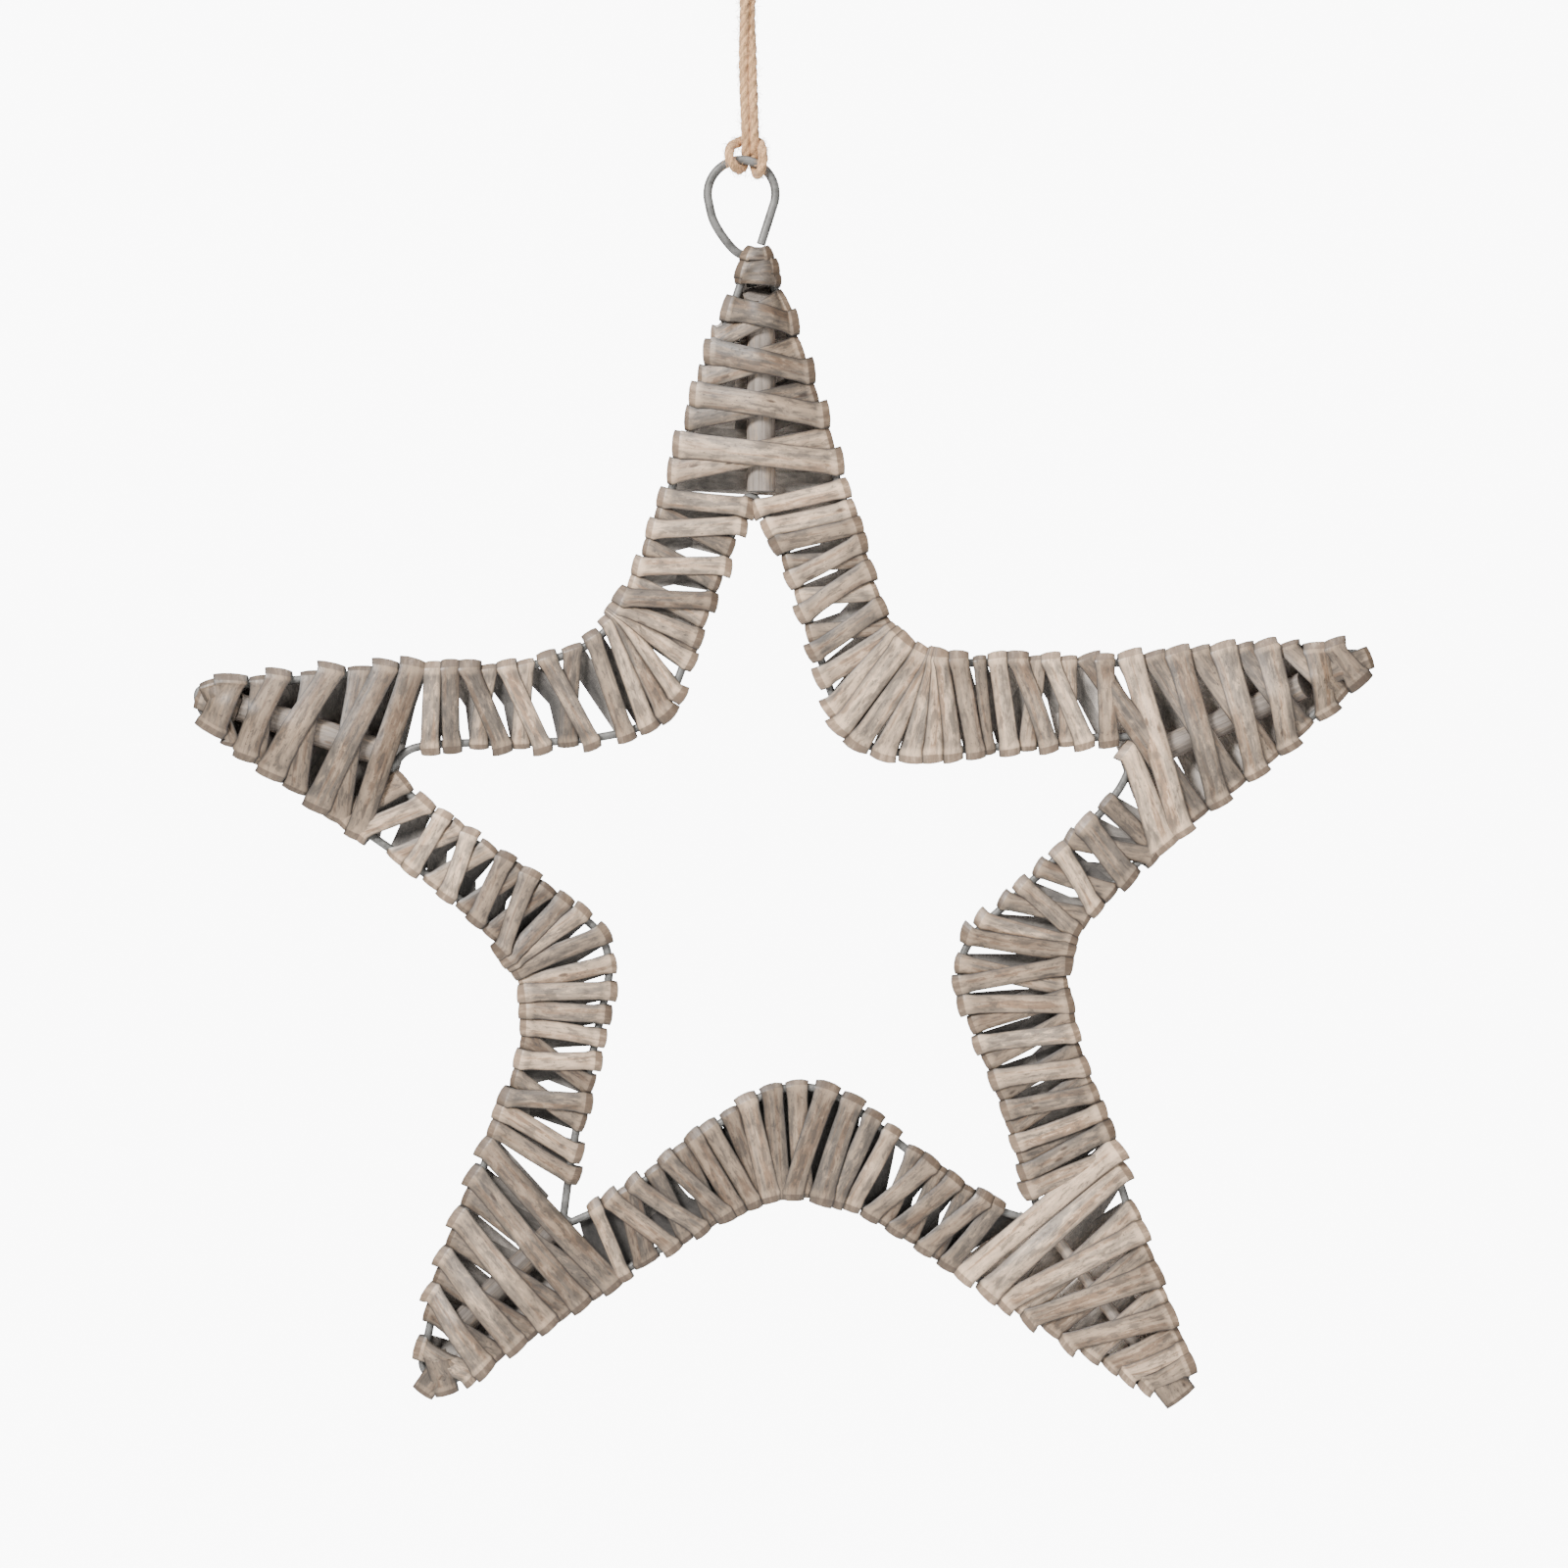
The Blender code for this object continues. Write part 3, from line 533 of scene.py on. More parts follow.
class Nodes:
    """A node tree that nodes are added to."""

    def __init__(self, tree):
        self.tree = tree

    def add(self, kind, settings=None, **inputs):
        """A node with its settings and its inputs, by name or as i0, i1, ... by place."""
        node = self.tree.nodes.new(kind)
        for key, value in (settings or {}).items():
            setattr(node, key, value)
        for key, value in inputs.items():
            place = int(key[1:]) if key[0] == "i" and key[1:].isdigit() else key
            self.feed(node.inputs[place], value)
        return node

    def feed(self, socket, value):
        if isinstance(value, bpy.types.NodeSocket):
            self.tree.links.new(value, socket)
        else:
            socket.default_value = value

    def math(self, operation, *values):
        node = self.add("ShaderNodeMath", {"operation": operation})
        for socket, value in zip(node.inputs, values):
            self.feed(socket, value)
        return node.outputs[0]

    def scaled(self, vector, factor):
        return self.add("ShaderNodeVectorMath", {"operation": "SCALE"}, i0=vector, Scale=factor).outputs[0]


class GeometryTree(Nodes):
    """A geometry node tree with named inputs, the last of which is the material."""

    def __init__(self, name, inputs):
        super().__init__(bpy.data.node_groups.new(name, "GeometryNodeTree"))
        self.tree.is_modifier = True
        face = self.tree.interface
        face.new_socket("Geometry", in_out="INPUT", socket_type="NodeSocketGeometry")
        for label, kind, default in inputs:
            socket = face.new_socket(label, in_out="INPUT", socket_type=f"NodeSocket{kind}")
            socket.default_value = default
        face.new_socket("Material", in_out="INPUT", socket_type="NodeSocketMaterial")
        face.new_socket("Geometry", in_out="OUTPUT", socket_type="NodeSocketGeometry")
        self.start = self.tree.nodes.new("NodeGroupInput")
        self.end = self.tree.nodes.new("NodeGroupOutput")

    def attribute(self, name, kind="FLOAT"):
        node = self.add("GeometryNodeInputNamedAttribute", {"data_type": kind}, Name=name)
        return node.outputs["Attribute"]

    def told(self, geometry, name, value, kind="FLOAT", domain="POINT"):
        """The geometry with an attribute stored on it."""
        return self.add("GeometryNodeStoreNamedAttribute", {"data_type": kind, "domain": domain},
                        i0=geometry, Name=name, Value=value).outputs[0]

    def moved(self, geometry, offset, **inputs):
        return self.add("GeometryNodeSetPosition", i0=geometry, Offset=offset, **inputs).outputs[0]

    def swept(self, line, profile):
        body = self.add("GeometryNodeCurveToMesh", i0=line, i1=profile)
        body.inputs["Fill Caps"].default_value = True
        return body.outputs[0]

    def circle(self, sides, diameter):
        return self.add("GeometryNodeCurvePrimitiveCircle", Resolution=sides,
                        Radius=self.math("DIVIDE", diameter, 2.0)).outputs[0]

    def finish(self, geometry):
        realized = self.add("GeometryNodeRealizeInstances", i0=geometry)
        done = self.add("GeometryNodeSetMaterial", i0=realized.outputs[0],
                        Material=self.start.outputs["Material"])
        self.feed(self.end.inputs[0], done.outputs[0])
        return self.tree


def split_willow_tree():
    """Gives a sheet the body of split willow: a flat inner face, a crowned outer face and a slight ripple."""
    tree = GeometryTree("Split willow", (
        ("Thickness", "Float", 0.00075), ("Edge Share", "Float", 0.5), ("Ripple", "Float", 0.0001),
        ("Ripple Scale", "Float", 260.0), ("Seed", "Float", 0.0)))
    sheet, thickness, edge, ripple, scale, seed = tree.start.outputs[:6]
    rise = tree.attribute("rise", "FLOAT_VECTOR")
    wave = tree.add("ShaderNodeTexNoise", {"noise_dimensions": "4D"}, W=seed, Scale=scale, Detail=1.0)
    swing = tree.math("MULTIPLY", tree.math("SUBTRACT", wave.outputs[0], 0.5), ripple)
    rippled = tree.moved(sheet, tree.scaled(rise, swing))
    raised = tree.add("GeometryNodeExtrudeMesh", i0=rippled)
    raised.inputs["Offset Scale"].default_value = 0.0
    raised.inputs["Individual"].default_value = False
    across = tree.math("ABSOLUTE", tree.attribute("across"))
    fall = tree.math("MULTIPLY", tree.math("POWER", across, CROWN_POWER), tree.math("SUBTRACT", 1.0, edge))
    height = tree.math("MULTIPLY", thickness, tree.math("SUBTRACT", 1.0, fall))
    crowned = tree.moved(raised.outputs["Mesh"], tree.scaled(rise, height), Selection=raised.outputs["Top"])
    turned = tree.add("GeometryNodeFlipFaces", i0=rippled)
    inner = tree.told(turned.outputs[0], "inner_face", 1.0, domain="FACE")
    both = tree.add("GeometryNodeJoinGeometry")
    for part in (crowned, inner):
        tree.feed(both.inputs[0], part)
    closed = tree.add("GeometryNodeMergeByDistance", i0=both.outputs[0], Distance=0.000004)
    return tree.finish(closed.outputs[0])


def round_wire_tree():
    """A round wire along a curve."""
    tree = GeometryTree("Round wire", (("Diameter", "Float", 0.0028), ("Sides", "Int", 20)))
    line, diameter, sides = tree.start.outputs[:3]
    body = tree.swept(line, tree.circle(sides, diameter))
    return tree.finish(tree.add("GeometryNodeSetShadeSmooth", i0=body).outputs[0])


def laid_string_tree():
    """A string along a curve, laid from yarns that twist round each other."""
    tree = GeometryTree("Laid string", (
        ("Diameter", "Float", 0.003), ("Yarns", "Int", 3), ("Lay", "Float", 0.0125),
        ("Groove", "Float", 0.00026), ("Roughness", "Float", 0.00034)))
    route, diameter, yarns, lay, groove, rough = tree.start.outputs[:6]
    line = tree.add("GeometryNodeResampleCurve", {"mode": "LENGTH"}, i0=route, Length=STRING_STEP)
    place = tree.add("GeometryNodeSplineParameter")
    told_line = tree.told(line.outputs[0], "string_run", place.outputs["Length"])
    told_ring = tree.told(tree.circle(STRING_SIDES, diameter), "string_turn", place.outputs["Factor"])
    body = tree.swept(told_line, told_ring)
    twist = tree.math("DIVIDE", tree.attribute("string_run"), lay)
    angle = tree.math("MULTIPLY", tree.math("SUBTRACT", tree.attribute("string_turn"), twist),
                      tree.math("MULTIPLY", yarns, math.tau))
    lobe = tree.math("COSINE", angle)
    hollow = tree.math("POWER", tree.math("MULTIPLY_ADD", lobe, -0.5, 0.5), 1.6)
    fuzz = tree.add("ShaderNodeTexNoise", Scale=900.0, Detail=3.0)
    uneven = tree.math("MULTIPLY", tree.math("SUBTRACT", fuzz.outputs[0], 0.5), rough)
    out = tree.math("SUBTRACT", uneven, tree.math("MULTIPLY", groove, hollow))
    moved = tree.moved(body, tree.scaled(tree.add("GeometryNodeInputNormal").outputs[0], out))
    spot = tree.add("ShaderNodeCombineXYZ", X=lobe, Y=tree.math("SINE", angle),
                    Z=tree.attribute("string_run"))
    told = tree.told(moved, "string_place", spot.outputs[0], "FLOAT_VECTOR")
    return tree.finish(tree.add("GeometryNodeSetShadeSmooth", i0=told).outputs[0])


def loose_fibre_tree():
    """Short bent fibres that stand off a string's surface."""
    tree = GeometryTree("Loose fibres", (
        ("Density", "Float", 700000.0), ("Length", "Float", 0.0030), ("Thickness", "Float", 0.00011),
        ("Seed", "Int", 7)))
    string, density, length, thickness, seed = tree.start.outputs[:5]
    roots = tree.add("GeometryNodeDistributePointsOnFaces", i0=string, Density=density, Seed=seed)
    bend = tree.add("GeometryNodeCurveQuadraticBezier", Resolution=5, Start=(0, 0, -0.0003))
    for label, along, off in (("Middle", 0.35, 0.3), ("End", 0.8, 0.35)):
        spot = tree.add("ShaderNodeCombineXYZ", X=tree.math("MULTIPLY", length, along),
                        Z=tree.math("MULTIPLY", length, off))
        tree.feed(bend.inputs[label], spot.outputs[0])
    fibre = tree.swept(bend.outputs[0], tree.circle(3, thickness))
    spin = tree.add("FunctionNodeRandomValue", {"data_type": "FLOAT_VECTOR"}, Min=(0, 0, 0),
                    Max=(0.5, 0.5, math.tau), Seed=seed)
    facing = tree.add("FunctionNodeRotateRotation", {"rotation_space": "LOCAL"}, i0=roots.outputs["Rotation"],
                      i1=spin.outputs[0])
    grow = tree.add("FunctionNodeRandomValue", {"data_type": "FLOAT"}, i2=0.45, i3=1.25, Seed=seed)
    fibres = tree.add("GeometryNodeInstanceOnPoints", i0=roots.outputs["Points"], Instance=fibre,
                      Rotation=facing.outputs[0], Scale=grow.outputs[1])
    return tree.finish(fibres.outputs[0])


def one_tree(name, build):
    return bpy.data.node_groups.get(name) or build()


def grown(name, data, tree, values):
    """The plain mesh object that a node tree makes of some geometry."""
    if not data.materials:
        data.materials.append(values["Material"])
    source = bpy.data.objects.new(f"{name}_source", data)
    bpy.context.scene.collection.objects.link(source)
    modifier = source.modifiers.new("tree", "NODES")
    modifier.node_group = tree
    for item in tree.interface.items_tree:
        if item.item_type == "SOCKET" and item.in_out == "INPUT" and item.name in values:
            modifier[item.identifier] = values[item.name]
    mesh = bpy.data.meshes.new_from_object(source.evaluated_get(bpy.context.evaluated_depsgraph_get()))
    mesh.name = name
    bpy.data.objects.remove(source, do_unlink=True)
    return placed(name, mesh)


def placed(name, data):
    """A new object in the scene."""
    thing = bpy.data.objects.new(name, data)
    bpy.context.scene.collection.objects.link(thing)
    return thing


def polyline(name, points, closed=False):
    curve = bpy.data.curves.new(name, "CURVE")
    curve.dimensions = "3D"
    spline = curve.splines.new("POLY")
    spline.points.add(len(points) - 1)
    for spot, point in zip(spline.points, points):
        spot.co = (*point, 1)
    spline.use_cyclic_u = closed
    return curve


def settle(piece, slot, *nodes):
    """Hangs a finished piece on the object, in place of its plain solids."""
    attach(piece, "root")
    if nodes:
        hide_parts(*nodes)


# Shader node groups and materials

class Shade(Nodes):
    """A shader node tree: a group's or a material's own."""

    def mapped(self, value, low, high, start=0.0, end=1.0):
        """A value from between low and high, held and brought to between start and end."""
        return self.add("ShaderNodeMapRange", {"interpolation_type": "SMOOTHSTEP"}, i0=value, i1=low, i2=high,
                        i3=start, i4=end).outputs[0]

    def noise(self, place, scale, detail, roughness, shift=(0, 0, 0), distortion=0.0):
        """Noise with a scale along each axis."""
        spot = self.add("ShaderNodeMapping", Vector=place, Scale=scale, Location=shift)
        return self.add("ShaderNodeTexNoise", Vector=spot.outputs[0], Scale=1.0, Detail=detail,
                        Roughness=roughness, Distortion=distortion).outputs[0]

    def mix(self, factor, first, second):
        return self.add("ShaderNodeMix", {"data_type": "RGBA"}, i0=factor, i6=first, i7=second).outputs[2]

    def coated(self, colour, *coats):
        """A colour under coats, each a factor and a colour."""
        for factor, coat in coats:
            colour = self.mix(factor, colour, coat)
        return colour

    def attribute(self, name, output="Fac"):
        return self.add("ShaderNodeAttribute", {"attribute_name": name}).outputs[output]

    def object_place(self):
        return self.add("ShaderNodeTexCoord").outputs["Object"]

    def grouped(self, name, build, **inputs):
        """The outputs of a shader group, which is built when it is first used."""
        return self.add("ShaderNodeGroup", {"node_tree": one_tree(name, build)}, **inputs).outputs

    def occlusion(self, distance, samples):
        return self.add("ShaderNodeAmbientOcclusion", {"samples": samples}, Distance=distance).outputs["AO"]

    def surface(self, body, colour, roughness, specular, relief, strength, distance):
        """Feeds a Principled BSDF, with a bump from the relief."""
        bump = self.add("ShaderNodeBump", Strength=strength, Distance=distance, Height=relief)
        for name, value in (("Base Color", colour), ("Roughness", roughness),
                            ("Specular IOR Level", specular), ("Normal", bump.outputs[0])):
            self.feed(body.inputs[name], value)


def shader_group(name, inputs, outputs):
    """A shader group with named sockets: its nodes, its inputs' values and a way to give its outputs'."""
    group = bpy.data.node_groups.new(name, "ShaderNodeTree")
    for label, kind, default in inputs:
        socket = group.interface.new_socket(label, in_out="INPUT", socket_type=f"NodeSocket{kind}")
        socket.default_value = default
    for label in outputs:
        group.interface.new_socket(label, in_out="OUTPUT", socket_type="NodeSocketFloat")
    return Shade(group), group.nodes.new("NodeGroupInput").outputs, group.nodes.new("NodeGroupOutput").inputs


def willow_grain_group():
    """Long grain, flecks, bud scars and bloom of willow, from a place in millimetres across and along."""
    shade, (place, _), ends = shader_group(
        "Willow grain", (("Place", "Vector", (0, 0, 0)),),
        ("Grain", "Streak", "Fleck", "Scar", "Bloom", "Relief", "Mottle"))
    coarse = shade.noise(place, (0.95, 0.036, 1), 3.0, 0.55, distortion=0.35)
    fibre = shade.noise(place, (3.2, 0.14, 1), 2.0, 0.6, (7, 3, 0))
    streak = shade.noise(place, (0.36, 0.020, 1), 3.0, 0.55, (3, 9, 0), 0.5)
    grain = shade.math("ADD", shade.math("MULTIPLY", coarse, 0.76), shade.math("MULTIPLY", fibre, 0.24))
    fleck = shade.mapped(shade.noise(place, (1.25, 0.62, 1), 3.0, 0.72, (1, 5, 0)), 0.60, 0.69)
    spot = shade.add("ShaderNodeMapping", Vector=place, Scale=(0.13, 0.050, 0.4), Location=(2, 4, 0))
    cells = shade.add("ShaderNodeTexVoronoi", {"feature": "F1"}, Vector=spot.outputs[0], Scale=1.0,
                      Randomness=1.0)
    scar = shade.mapped(cells.outputs["Distance"], 0.115, 0.05)
    bloom = shade.mapped(shade.noise(place, (0.36, 0.085, 1), 4.0, 0.62, (5, 1, 0)), 0.50, 0.68)
    mottle = shade.noise(place, (0.40, 0.15, 1), 5.0, 0.66, (8, 2, 0), 0.3)
    relief = shade.math("SUBTRACT", grain, shade.math("MULTIPLY", shade.math("ADD", fleck, scar), 0.35))
    for socket, value in zip(ends, (grain, streak, fleck, scar, bloom, relief, mottle)):
        shade.feed(socket, value)
    return shade.tree


def speckle_group():
    """Fine mottling in the solid: a broad patch, a fine grain and dark pits."""
    shade, (place, scale, _), ends = shader_group(
        "Speckle", (("Place", "Vector", (0, 0, 0)), ("Scale", "Float", 1.0)), ("Patch", "Grain", "Pit"))
    grown_place = shade.scaled(place, scale)
    patch = shade.noise(grown_place, (0.25,) * 3, 3.0, 0.6)
    grain = shade.noise(grown_place, (2.2,) * 3, 3.0, 0.65)
    pit = shade.mapped(shade.noise(grown_place, (1.1,) * 3, 2.0, 0.5), 0.62, 0.74)
    for socket, value in zip(ends, (patch, grain, pit)):
        shade.feed(socket, value)
    return shade.tree


def new_material(name):
    material = bpy.data.materials.new(name)
    material.use_nodes = True
    return material, Shade(material.node_tree), material.node_tree.nodes["Principled BSDF"]


def tinted(colour, factor=1.0):
    return (*(channel * factor for channel in colour), 1.0)


def strip_material(layer):
    """Split willow: grey-washed, streaked and flecked, with painted highlights and painted shade at its
    folds, edges and crevices.
    """
    name = f"split_willow_{layer}"
    made = bpy.data.materials.get(name)
    if made:
        return made
    palette = colours()
    pale, brown, grey, split = (palette.willow_pale, palette.willow_brown, palette.willow_grey,
                                palette.willow_shade)
    material, shade, body = new_material(name)
    look = shade.add("ShaderNodeSeparateColor", i0=shade.attribute("strip_look", "Color"))
    tone, warmth, fold = look.outputs
    edge = shade.attribute("edge")
    inside = shade.attribute("inner_face")
    fine, streak, fleck, scar, bloom, relief, mottle = shade.grouped(
        "Willow grain", willow_grain_group, Place=shade.attribute("grain_place", "Vector"))

    warm = shade.math("ADD", shade.mapped(streak, 0.36, 0.64, -0.4, 0.4), warmth)
    # Painted highlight on the folds' shoulders
    shoulder_highlight = shade.math("MULTIPLY", shade.mapped(fold, 0.30, 0.95, 0.0, 0.55),
                      shade.mapped(mottle, 0.36, 0.58, 0.3, 1.0))
    # Painted shade, darker and browner, on the folds' outer facets
    facet_shade = shade.math("MULTIPLY", shade.mapped(fold, 1.0, 1.9, 0.0, 0.85),
                        shade.mapped(mottle, 0.66, 0.46, 0.55, 1.0))
    tan = shade.mix(0.5, tinted(grey, 0.85), tinted(brown, 0.95))
    # Painted shade in the creases and laps between strips, from the occlusion close round them
    painted_crevice_shade = shade.mapped(shade.occlusion(0.0035, 6), 0.15, 0.9, 0.75, 0.0)
    outside = shade.coated(
        tinted(grey, 1.15),
        (shade.mapped(warm, 0.0, 1.0), tinted(pale)),
        (shade.mapped(streak, 0.49, 0.61, 0.0, 0.8), tinted(brown)),
        (shade.math("MULTIPLY", bloom, 0.6), tinted(pale, 1.12)),
        (shade.mapped(mottle, 0.50, 0.39, 0.0, 0.68), tinted(grey, 0.5)),
        (shade.mapped(mottle, 0.53, 0.63, 0.0, 0.66), tinted(pale, 1.3)),
        (shade.mapped(fine, 0.48, 0.33, 0.0, 0.42), tinted(grey, 0.45)),
        (shade.mapped(fine, 0.55, 0.68, 0.0, 0.28), tinted(pale, 1.2)),
        (shade.math("MULTIPLY", fleck, 0.7), tinted(grey, 0.28)),
        (shade.math("MULTIPLY", scar, 0.85), tinted(brown, 0.28)),
        (shoulder_highlight, tinted(pale, 1.45)),
        (facet_shade, tan),
        # Painted shade across each strip, darkest at its edges
        (shade.mapped(edge, 0.30, 1.0, 0.0, 0.5), tinted(grey, 0.55)),
        (shade.mapped(edge, 0.84, 1.0, 0.0, 0.9), tinted(grey, 0.2)),
        (painted_crevice_shade, tinted(grey, 0.25)))

    # The split side is painted: painted light in the closed pockets, where the strips' depth would black it
    # out, and painted shade where it lies open behind the gaps
    painted_pocket_light = shade.mapped(shade.attribute("pocket"), 0.0, 1.0, 0.8, 3.9)
    split_side = shade.mix(shade.mapped(mottle, 0.38, 0.62), tinted(split, 0.75), tinted(split, 1.25))
    painted_split_side = shade.scaled(split_side,
                            shade.mapped(shade.occlusion(0.014, 12), 0.20, 0.62, painted_pocket_light, 0.19))
    # The under layer is painted darker, as painted shade under the over layer
    level = shade.math("MULTIPLY", shade.mapped(tone, 0.0, 1.0, 0.45, 1.28), LAYER_PAINTED_LIGHTNESS[layer])
    gloss = shade.math("ADD", shade.mapped(fine, 0.3, 0.7, 0.60, 0.44), shade.math("MULTIPLY", inside, 0.2))
    roughness = shade.math("SUBTRACT", gloss, shade.math("MULTIPLY", shoulder_highlight, 0.2))
    colour = shade.scaled(shade.mix(inside, outside, painted_split_side), level)
    shade.surface(body, colour, roughness, 0.55, relief, 0.55, 0.00022)
    return material


def rod_material():
    """Round willow with the bark off: matt, pinkish grey, with long fine grain."""
    palette = colours()
    rod = palette.willow_rod
    material, shade, body = new_material("round_willow")
    fine, streak, fleck, scar, bloom, relief, _ = shade.grouped(
        "Willow grain", willow_grain_group, Place=shade.attribute("grain_place", "Vector"))
    rings = shade.noise(shade.object_place(), (1500, 1500, 1500), 3.0, 0.6)
    end_wood = shade.mix(shade.mapped(rings, 0.35, 0.65), tinted(rod, 0.55), tinted(rod, 1.1))
    colour = shade.coated(
        tinted(rod, 0.82),
        (shade.mapped(streak, 0.35, 0.65), tinted(rod, 1.12)),
        (shade.math("MULTIPLY", bloom, 0.5), tinted(palette.willow_pale, 1.1)),
        (shade.mapped(fine, 0.55, 0.36, 0.0, 0.55), tinted(palette.willow_grey, 0.6)),
        (shade.math("MULTIPLY", fleck, 0.5), tinted(palette.willow_shade, 0.7)),
        (shade.math("MULTIPLY", scar, 0.6), tinted(palette.willow_brown, 0.5)),
        (shade.attribute("cut_end"), end_wood))
    shade.surface(body, shade.scaled(colour, shade.attribute("rod_shade")),
                  shade.mapped(fine, 0.3, 0.7, 0.78, 0.62), 0.35, relief, 0.6, 0.0003)
    return material


def galvanised_material():
    """Dull galvanised wire: pale zinc bloom over darker steel, with fine pits and painted shade on its rim.
    """
    zinc = colours().zinc
    material, shade, body = new_material("dull_zinc")
    patch, grain, pit = shade.grouped("Speckle", speckle_group, Place=shade.object_place(), Scale=900.0)
    # Facing drives painted shade on the wire's rim, where it turns away from the camera
    facing = shade.add("ShaderNodeLayerWeight", Blend=0.5).outputs["Facing"]
    colour = shade.coated(
        tinted(zinc, 0.72),
        (shade.mapped(patch, 0.35, 0.65), tinted(zinc, 1.15)),
        (shade.mapped(grain, 0.5, 0.72, 0.0, 0.5), tinted(zinc, 1.7)),
        (shade.math("MULTIPLY", pit, 0.6), tinted(zinc, 0.3)),
        (shade.mapped(facing, 0.45, 0.95, 0.0, 0.75), tinted(zinc, 0.3)))
    shade.surface(body, colour, shade.mapped(grain, 0.3, 0.7, 0.48, 0.68), 0.25, grain, 0.35, 0.00012)
    shade.feed(body.inputs["Metallic"], shade.mapped(patch, 0.3, 0.7, 0.60, 0.40))
    body.inputs["Specular Tint"].default_value = (0.30, 0.30, 0.30, 1)
    return material


def jute_material(name, lightness):
    """Jute: sandy fibres that follow the yarns, with painted shade in the grooves."""
    palette = colours()
    material, shade, body = new_material(name)
    place = shade.attribute("string_place", "Vector")
    lobe = shade.add("ShaderNodeSeparateXYZ", i0=place).outputs[0]
    strands = shade.noise(place, (2.4, 2.4, 300), 4.0, 0.65)
    hairs = shade.noise(shade.object_place(), (2300, 2300, 420), 3.0, 0.65)
    mixed = shade.math("ADD", shade.math("MULTIPLY", strands, 0.5), shade.math("MULTIPLY", hairs, 0.5))
    # Painted shade in the grooves between the yarns
    colour = shade.coated(
        tinted(palette.jute, 0.52 * lightness),
        (shade.mapped(mixed, 0.40, 0.60), tinted(palette.jute, 1.38 * lightness)),
        (shade.mapped(lobe, -0.2, -1.0, 0.0, 0.6), tinted(palette.jute_groove_shade)))
    shade.surface(body, colour, shade.mapped(mixed, 0.3, 0.7, 0.95, 0.8), 0.2, mixed, 0.8, 0.0003)
    body.inputs["Sheen Weight"].default_value = 0.25
    body.inputs["Sheen Roughness"].default_value = 0.6
    return material


# Strips

def slant(first, second):
    """How much wider than itself a strip crosses the wires, for its direction over them."""
    (start, start_along, _), (end, end_along, _) = first, second
    over = (end - start).normalized()
    square = over.cross((start_along + end_along).normalized()).length
    return 1 / max(square, 1 / WIDEST_SLANT)


def fold_widths(places, breadths, rng):
    """How wide each turn is along a wire: tightly bunched turns are pinched."""
    widths = []
    for index, (place, breadth) in enumerate(zip(places, breadths)):
        gaps = [abs(places[near] - place) for near in (index - 1, index + 1) if 0 <= near < len(places)]
        pinched = max(PINCHED_SHARE * breadth, GAP_REACH * min(gaps, default=1.0) + GAP_ALLOWANCE)
        widths.append(min(breadth, pinched) * rng.uniform(*WIDTH_PLAY))
    return widths


def laps(places, widths, thickness):
    """Heights of each turn's two edges over its layer's level, where it lies on the one before."""
    heights = []
    for index, (place, width) in enumerate(zip(places, widths)):
        lap = [0.0, 0.0]
        if index:
            before, breadth, below = places[index - 1], widths[index - 1], heights[index - 1]
            for end in (0, 1):
                share = (place + (end - 0.5) * width - before) / breadth + 0.5
                if 0 <= share <= 1:
                    surface = below[0] + (below[1] - below[0]) * share + thickness * LAP_FULLNESS
                    lap[end] = min(MOST_LAP, surface)
        heights.append(lap)
    return heights


class Turn:
    """One front pass of a strip: its piece, its layer's level and where it folds over the two rails."""

    def __init__(self, piece, level, pair):
        self.piece = piece
        self.level = level
        self.places = [pair[0] * GRID, pair[1] * GRID]
        self.breadth = pair[2] * GRID if len(pair) == 3 else 0.0
        self.widths = [0.0, 0.0]
        self.laps = [(0.0, 0.0), (0.0, 0.0)]


def lay_turns(rails, turns, width, rng):
    """Settles the widths and laps of one layer's turns, which are in order along the rails."""
    for side in (0, 1):
        places = [turn.places[side] for turn in turns]
        breadths = [(turn.breadth or width) * slant(rails[0].at(turn.places[0]), rails[1].at(turn.places[1]))
                    for turn in turns]
        widths = fold_widths(places, breadths, rng)
        lifts = laps(places, widths, sizes().strip_thickness)
        for turn, broad, lift in zip(turns, widths, lifts):
            turn.widths[side] = broad
            turn.laps[side] = lift


class Crown:
    """How far strips stand off the wires' plane where they are drawn tight over a rod."""

    def __init__(self, start, end, diameter):
        self.start = start
        self.along = (end - start).normalized()
        self.across = Vector((-self.along.z, 0, self.along.x))
        self.radius = diameter / 2
        self.length = (end - start).length

    def fade(self, point):
        place = (point - self.start).dot(self.along)
        past = max(-place, place - self.length) - CROWN_OVERRUN
        return clamped(1 - past / CROWN_RUN_IN)

    def profile(self, a, b, level, steps):
        """Heights at even steps from a to b of a strip drawn over the rod; it leaves both ends at level."""
        first, last = (a - self.start).dot(self.across), (b - self.start).dot(self.across)
        share = clamped(first / (first - last)) if first != last else 0.5
        radius = max((self.radius + level[2]) * self.fade(a + (b - a) * share), LEAST_CROWN)
        tangents = []
        for place, height in ((first, level[0]), (last, level[1])):
            far = math.hypot(place, height)
            if far <= radius:
                tangents.append(None)
                continue
            lean = math.acos(radius / far)
            angle = math.atan2(height, abs(place)) + lean
            tangents.append((math.copysign(radius * math.cos(angle), place), radius * math.sin(angle)))
        heights = []
        for step in range(steps + 1):
            t = step / steps
            place = first + (last - first) * t
            flat = level[0] + (level[1] - level[0]) * t
            over = math.sqrt(max(radius * radius - place * place, 0.0))
            if None not in tangents and max(level[0], level[1]) < radius:
                for (end, height), (spot, top) in zip(((first, level[0]), (last, level[1])), tangents):
                    if end != spot and (spot - place) * (spot - end) > 0:
                        over = height + (top - height) * (place - end) / (spot - end)
            heights.append(max(flat, over))
        return heights


